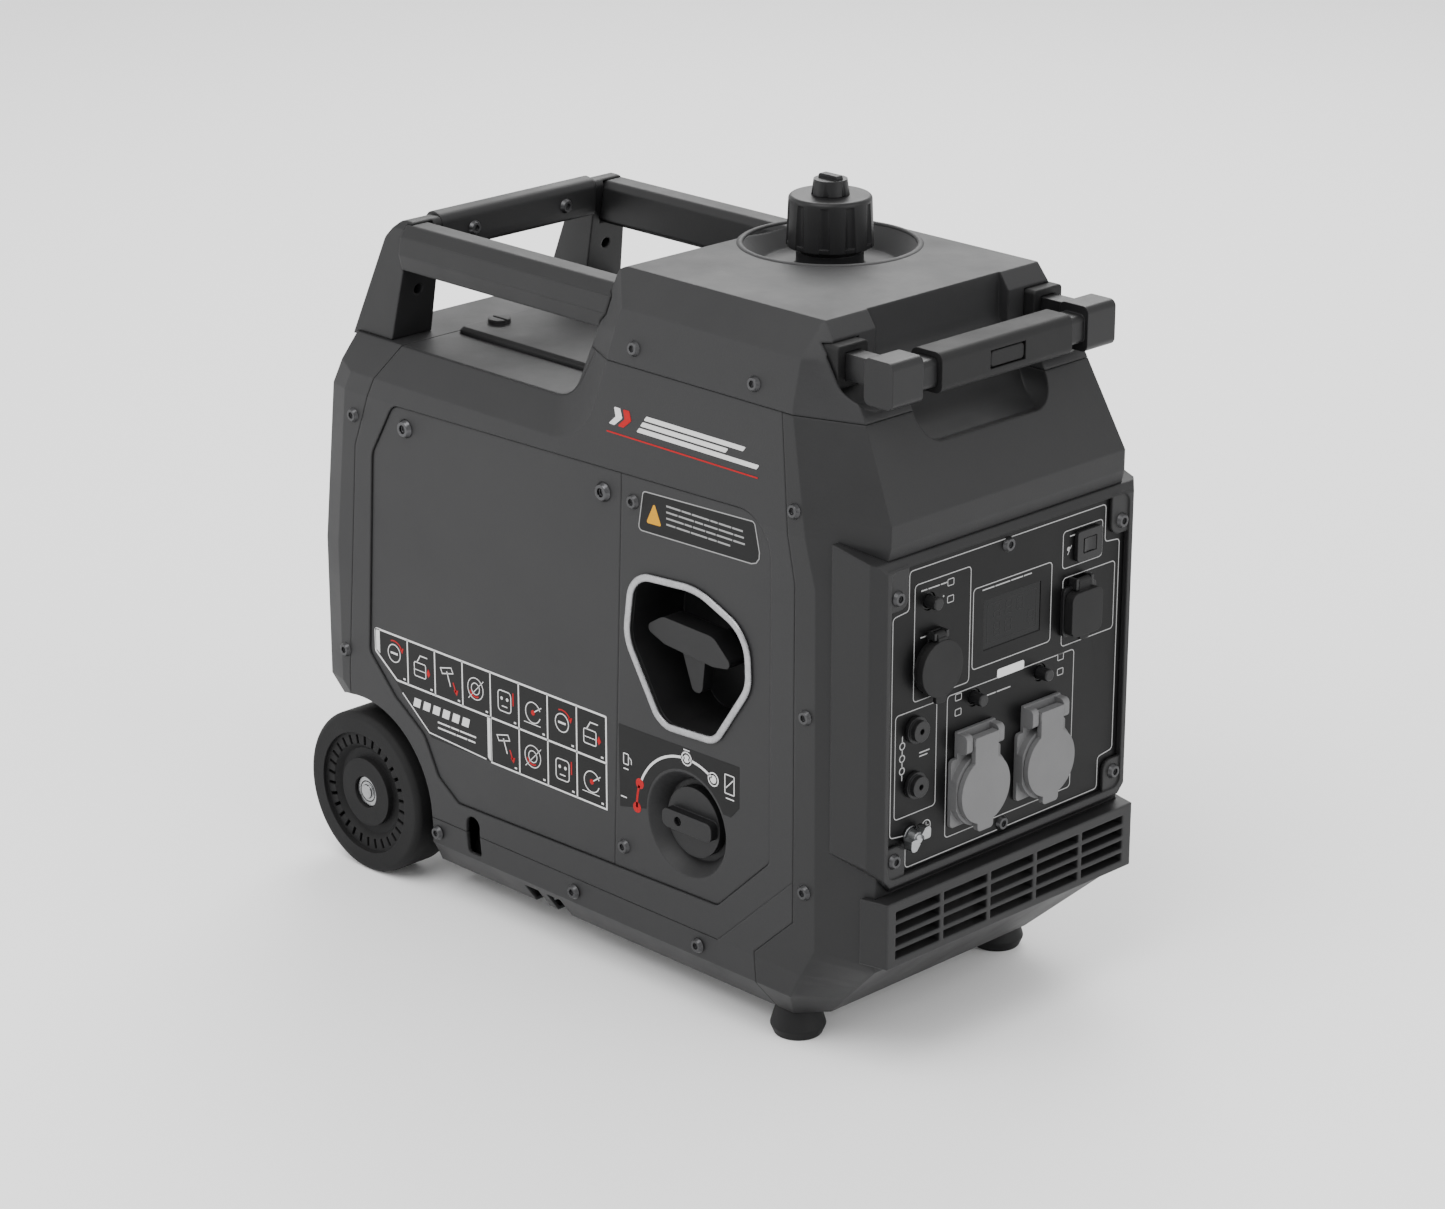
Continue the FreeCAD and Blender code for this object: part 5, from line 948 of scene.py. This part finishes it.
class GENERATOR_OT_side_marks(bpy.types.Operator):
    """Lay the notice label, dial scale and badge on the starter side"""

    bl_idname = "generator.side_marks"
    bl_label = "Side marks"

    def execute(self, context):
        notice = round_path([(74, 380, 3), (182, 384, 3), (189, 354, 8), (69, 351, 3)], 3)
        Print(on_side).area(notice).done("notice_film", "film", CASE, "recoil_panel")
        Print(on_side, 0.0, 0.17).line(notice, 0.8, True).done("notice_border", "grey_ink", CASE,
                                                            "recoil_panel")
        sign = Print(on_side, 0.0, 0.18)
        sign.area(round_path([(77, 358, 1), (92, 358.5, 1), (85, 374, 1)], 2))
        sign.done("notice_sign", "yellow_ink", CASE, "recoil_panel")
        rows = Print(on_side, 0.0, 0.17)
        rows.bars(97, 374, [(14, 9, 17, 7, 12, 10), (11, 15, 8, 13, 14, 9), (17, 7, 12, 9, 15, 11),
                            (9, 13, 16, 8, 12)], 4.4, 1.3)
        rows.done("notice_rows", "grey_ink", CASE, "recoil_panel")

        centre, ring = (116, 144), 50       # middle of the dial, and radius of its scale
        scale = Print(on_side)
        scale.area([(47, 201), (168, 203), (168, 172), (160, 163)]
                   + [around(*centre, 41, a) for a in range(28, 181, 8)] + [(48, 138)])
        scale.done("dial_scale_film", "film", CASE, "recoil_panel")
        white = Print(on_side, 0.0, 0.18)
        red = Print(on_side, 0.0, 0.18)
        white.arc(*centre, ring, 156, 92, 1.9).arc(*centre, ring, 88, 60, 1.9)
        red.arc(*centre, ring + 0.5, 182, 162, 1.9)
        for angle in (90, 58):
            u, v = around(*centre, ring, angle)
            white.dot(u, v, 3.0).arc(u, v, 4.8, 0, 360, 1.0)
        for angle in (182, 160):
            red.dot(*around(*centre, ring + 0.5, angle), 4.0)
        white.line(frame_path(52, 57, 172, 180, 0.6), 0.8, True)
        white.line([(58, 178), (60, 176), (60, 173)], 0.7)
        white.line(frame_path(154, 163, 180, 194, 0.5), 0.8, True).line([(155, 184), (162, 191)], 0.8)
        white.bars(52, 168, [(5,)]).bars(49, 146, [(6,)]).bars(113, 200, [(6,)]).bars(155, 176, [(8,)])
        white.done("dial_scale_print", "ink", CASE, "recoil_panel")
        red.done("dial_scale_marks", "red_ink", CASE, "recoil_panel")

        badge = Print(on_lean, 0.0, 0.3)
        red = Print(on_lean, 0.0, 0.3)
        for k, (start, end) in enumerate(((64, 180), (67, 150), (70, 166))):
            v = 419.5 + k * 4.6
            badge.area(round_path([(start, v, 0.5), (end, v, 0.5), (end + 2.4, v + 3.2, 0.5),
                                   (start + 2.4, v + 3.2, 0.5)], 2))
        for u, mark in ((36, badge), (45, red)):
            mark.area(round_path([(u, 419.5, 0.6), (u + 6, 419.5, 0.6), (u + 13, 425.5, 0.8),
                                  (u + 10, 431.9, 0.6), (u + 4, 431.9, 0.6), (u + 6.5, 425.5, 0.8)],
                                 2))
        red.line([(35, 414.0), (182, 414.0)], 0.9)
        badge.done("side_badge", "ink", CASE, "left_side_cover")
        red.done("side_badge_accent", "red_ink", CASE, "left_side_cover")
        return {"FINISHED"}


class GENERATOR_OT_stage(bpy.types.Operator):
    """Floor, backdrop, light and camera"""

    bl_idname = "generator.stage"
    bl_label = "Stage"

    def execute(self, context):
        s = context.scene.generator_stage
        material, _, shader = blank("Pale floor")
        shader.inputs["Base Color"].default_value = (*s.floor, 1)
        shader.inputs["Roughness"].default_value = 0.9
        bm = bmesh.new()
        bmesh.ops.create_grid(bm, x_segments=2, y_segments=2, size=30)
        mesh = bpy.data.meshes.new("floor")
        bm.to_mesh(mesh)
        bm.free()
        floor = bpy.data.objects.new("floor", mesh)
        mesh.materials.append(material)
        context.scene.collection.objects.link(floor)
        for name, power, size, at, aim in (
                ("key", s.key, 2.4, (0.4, -2.0, 3.2), (0, 0, 0.25)),
                ("front_fill", s.key * 0.5, 2.6, (3.0, 0.6, 1.6), (0, 0, 0.25)),
                ("back_rim", s.key * 0.8, 2.0, (-1.6, 2.2, 2.6), (0, 0, 0.4)),
                ("low_left", s.key * 0.25, 2.2, (-2.2, -2.4, 1.0), (0, 0, 0.2))):
            light = bpy.data.lights.new(name, "AREA")
            light.energy, light.size = power, size
            o = bpy.data.objects.new(name, light)
            o.location = at
            o.rotation_mode = "QUATERNION"
            o.rotation_quaternion = (Vector(aim) - Vector(at)).to_track_quat("-Z", "Y")
            context.scene.collection.objects.link(o)
        world = bpy.data.worlds.new("Soft surround")
        world.use_nodes = True
        back = world.node_tree.nodes["Background"]
        back.inputs["Color"].default_value = (1, 1, 1, 1)
        back.inputs["Strength"].default_value = s.surround
        context.scene.world = world
        camera = bpy.data.cameras.new("camera")
        camera.lens, camera.sensor_width = s.lens, 36.0
        o = bpy.data.objects.new("camera", camera)
        o.location = s.eye
        away = Vector((math.sin(s.azimuth) * math.cos(s.elevation),
                       -math.cos(s.azimuth) * math.cos(s.elevation), math.sin(s.elevation)))
        o.rotation_mode = "QUATERNION"
        o.rotation_quaternion = (-away).to_track_quat("-Z", "Y")
        context.scene.collection.objects.link(o)
        context.scene.camera = o
        return {"FINISHED"}


OPERATORS = (
    GENERATOR_OT_finishes, GENERATOR_OT_case, GENERATOR_OT_handles, GENERATOR_OT_panel,
    GENERATOR_OT_starter, GENERATOR_OT_fuel, GENERATOR_OT_wheels, GENERATOR_OT_inside,
    GENERATOR_OT_screws, GENERATOR_OT_panel_prints, GENERATOR_OT_display,
    GENERATOR_OT_step_label, GENERATOR_OT_side_marks, GENERATOR_OT_stage)


class GENERATOR_PT_sidebar(bpy.types.Panel):
    """Lists the builders and their settings"""

    bl_label = "Generator"
    bl_idname = "GENERATOR_PT_sidebar"
    bl_space_type = "VIEW_3D"
    bl_region_type = "UI"
    bl_category = "Generator"

    def draw(self, context):
        for group_name in ("generator_finish", "generator_detail", "generator_stage"):
            settings = getattr(context.scene, group_name)
            box = self.layout.box()
            for key in settings.bl_rna.properties.keys():
                if key not in ("rna_type", "name"):
                    box.prop(settings, key)
        for operator in OPERATORS:
            self.layout.operator(operator.bl_idname)


SETTINGS = (FinishSettings, DetailSettings, StageSettings)


def register():
    for cls in SETTINGS + OPERATORS + (GENERATOR_PT_sidebar,):
        bpy.utils.register_class(cls)
    bpy.types.Scene.generator_finish = PointerProperty(type=FinishSettings)
    bpy.types.Scene.generator_detail = PointerProperty(type=DetailSettings)
    bpy.types.Scene.generator_stage = PointerProperty(type=StageSettings)


def unregister():
    for name in ("generator_finish", "generator_detail", "generator_stage"):
        delattr(bpy.types.Scene, name)
    for cls in reversed(SETTINGS + OPERATORS + (GENERATOR_PT_sidebar,)):
        bpy.utils.unregister_class(cls)


def main():
    register()
    for operator in OPERATORS:
        kind, name = operator.bl_idname.split(".")
        getattr(getattr(bpy.ops, kind), name)()


if __name__ == "__main__":
    main()
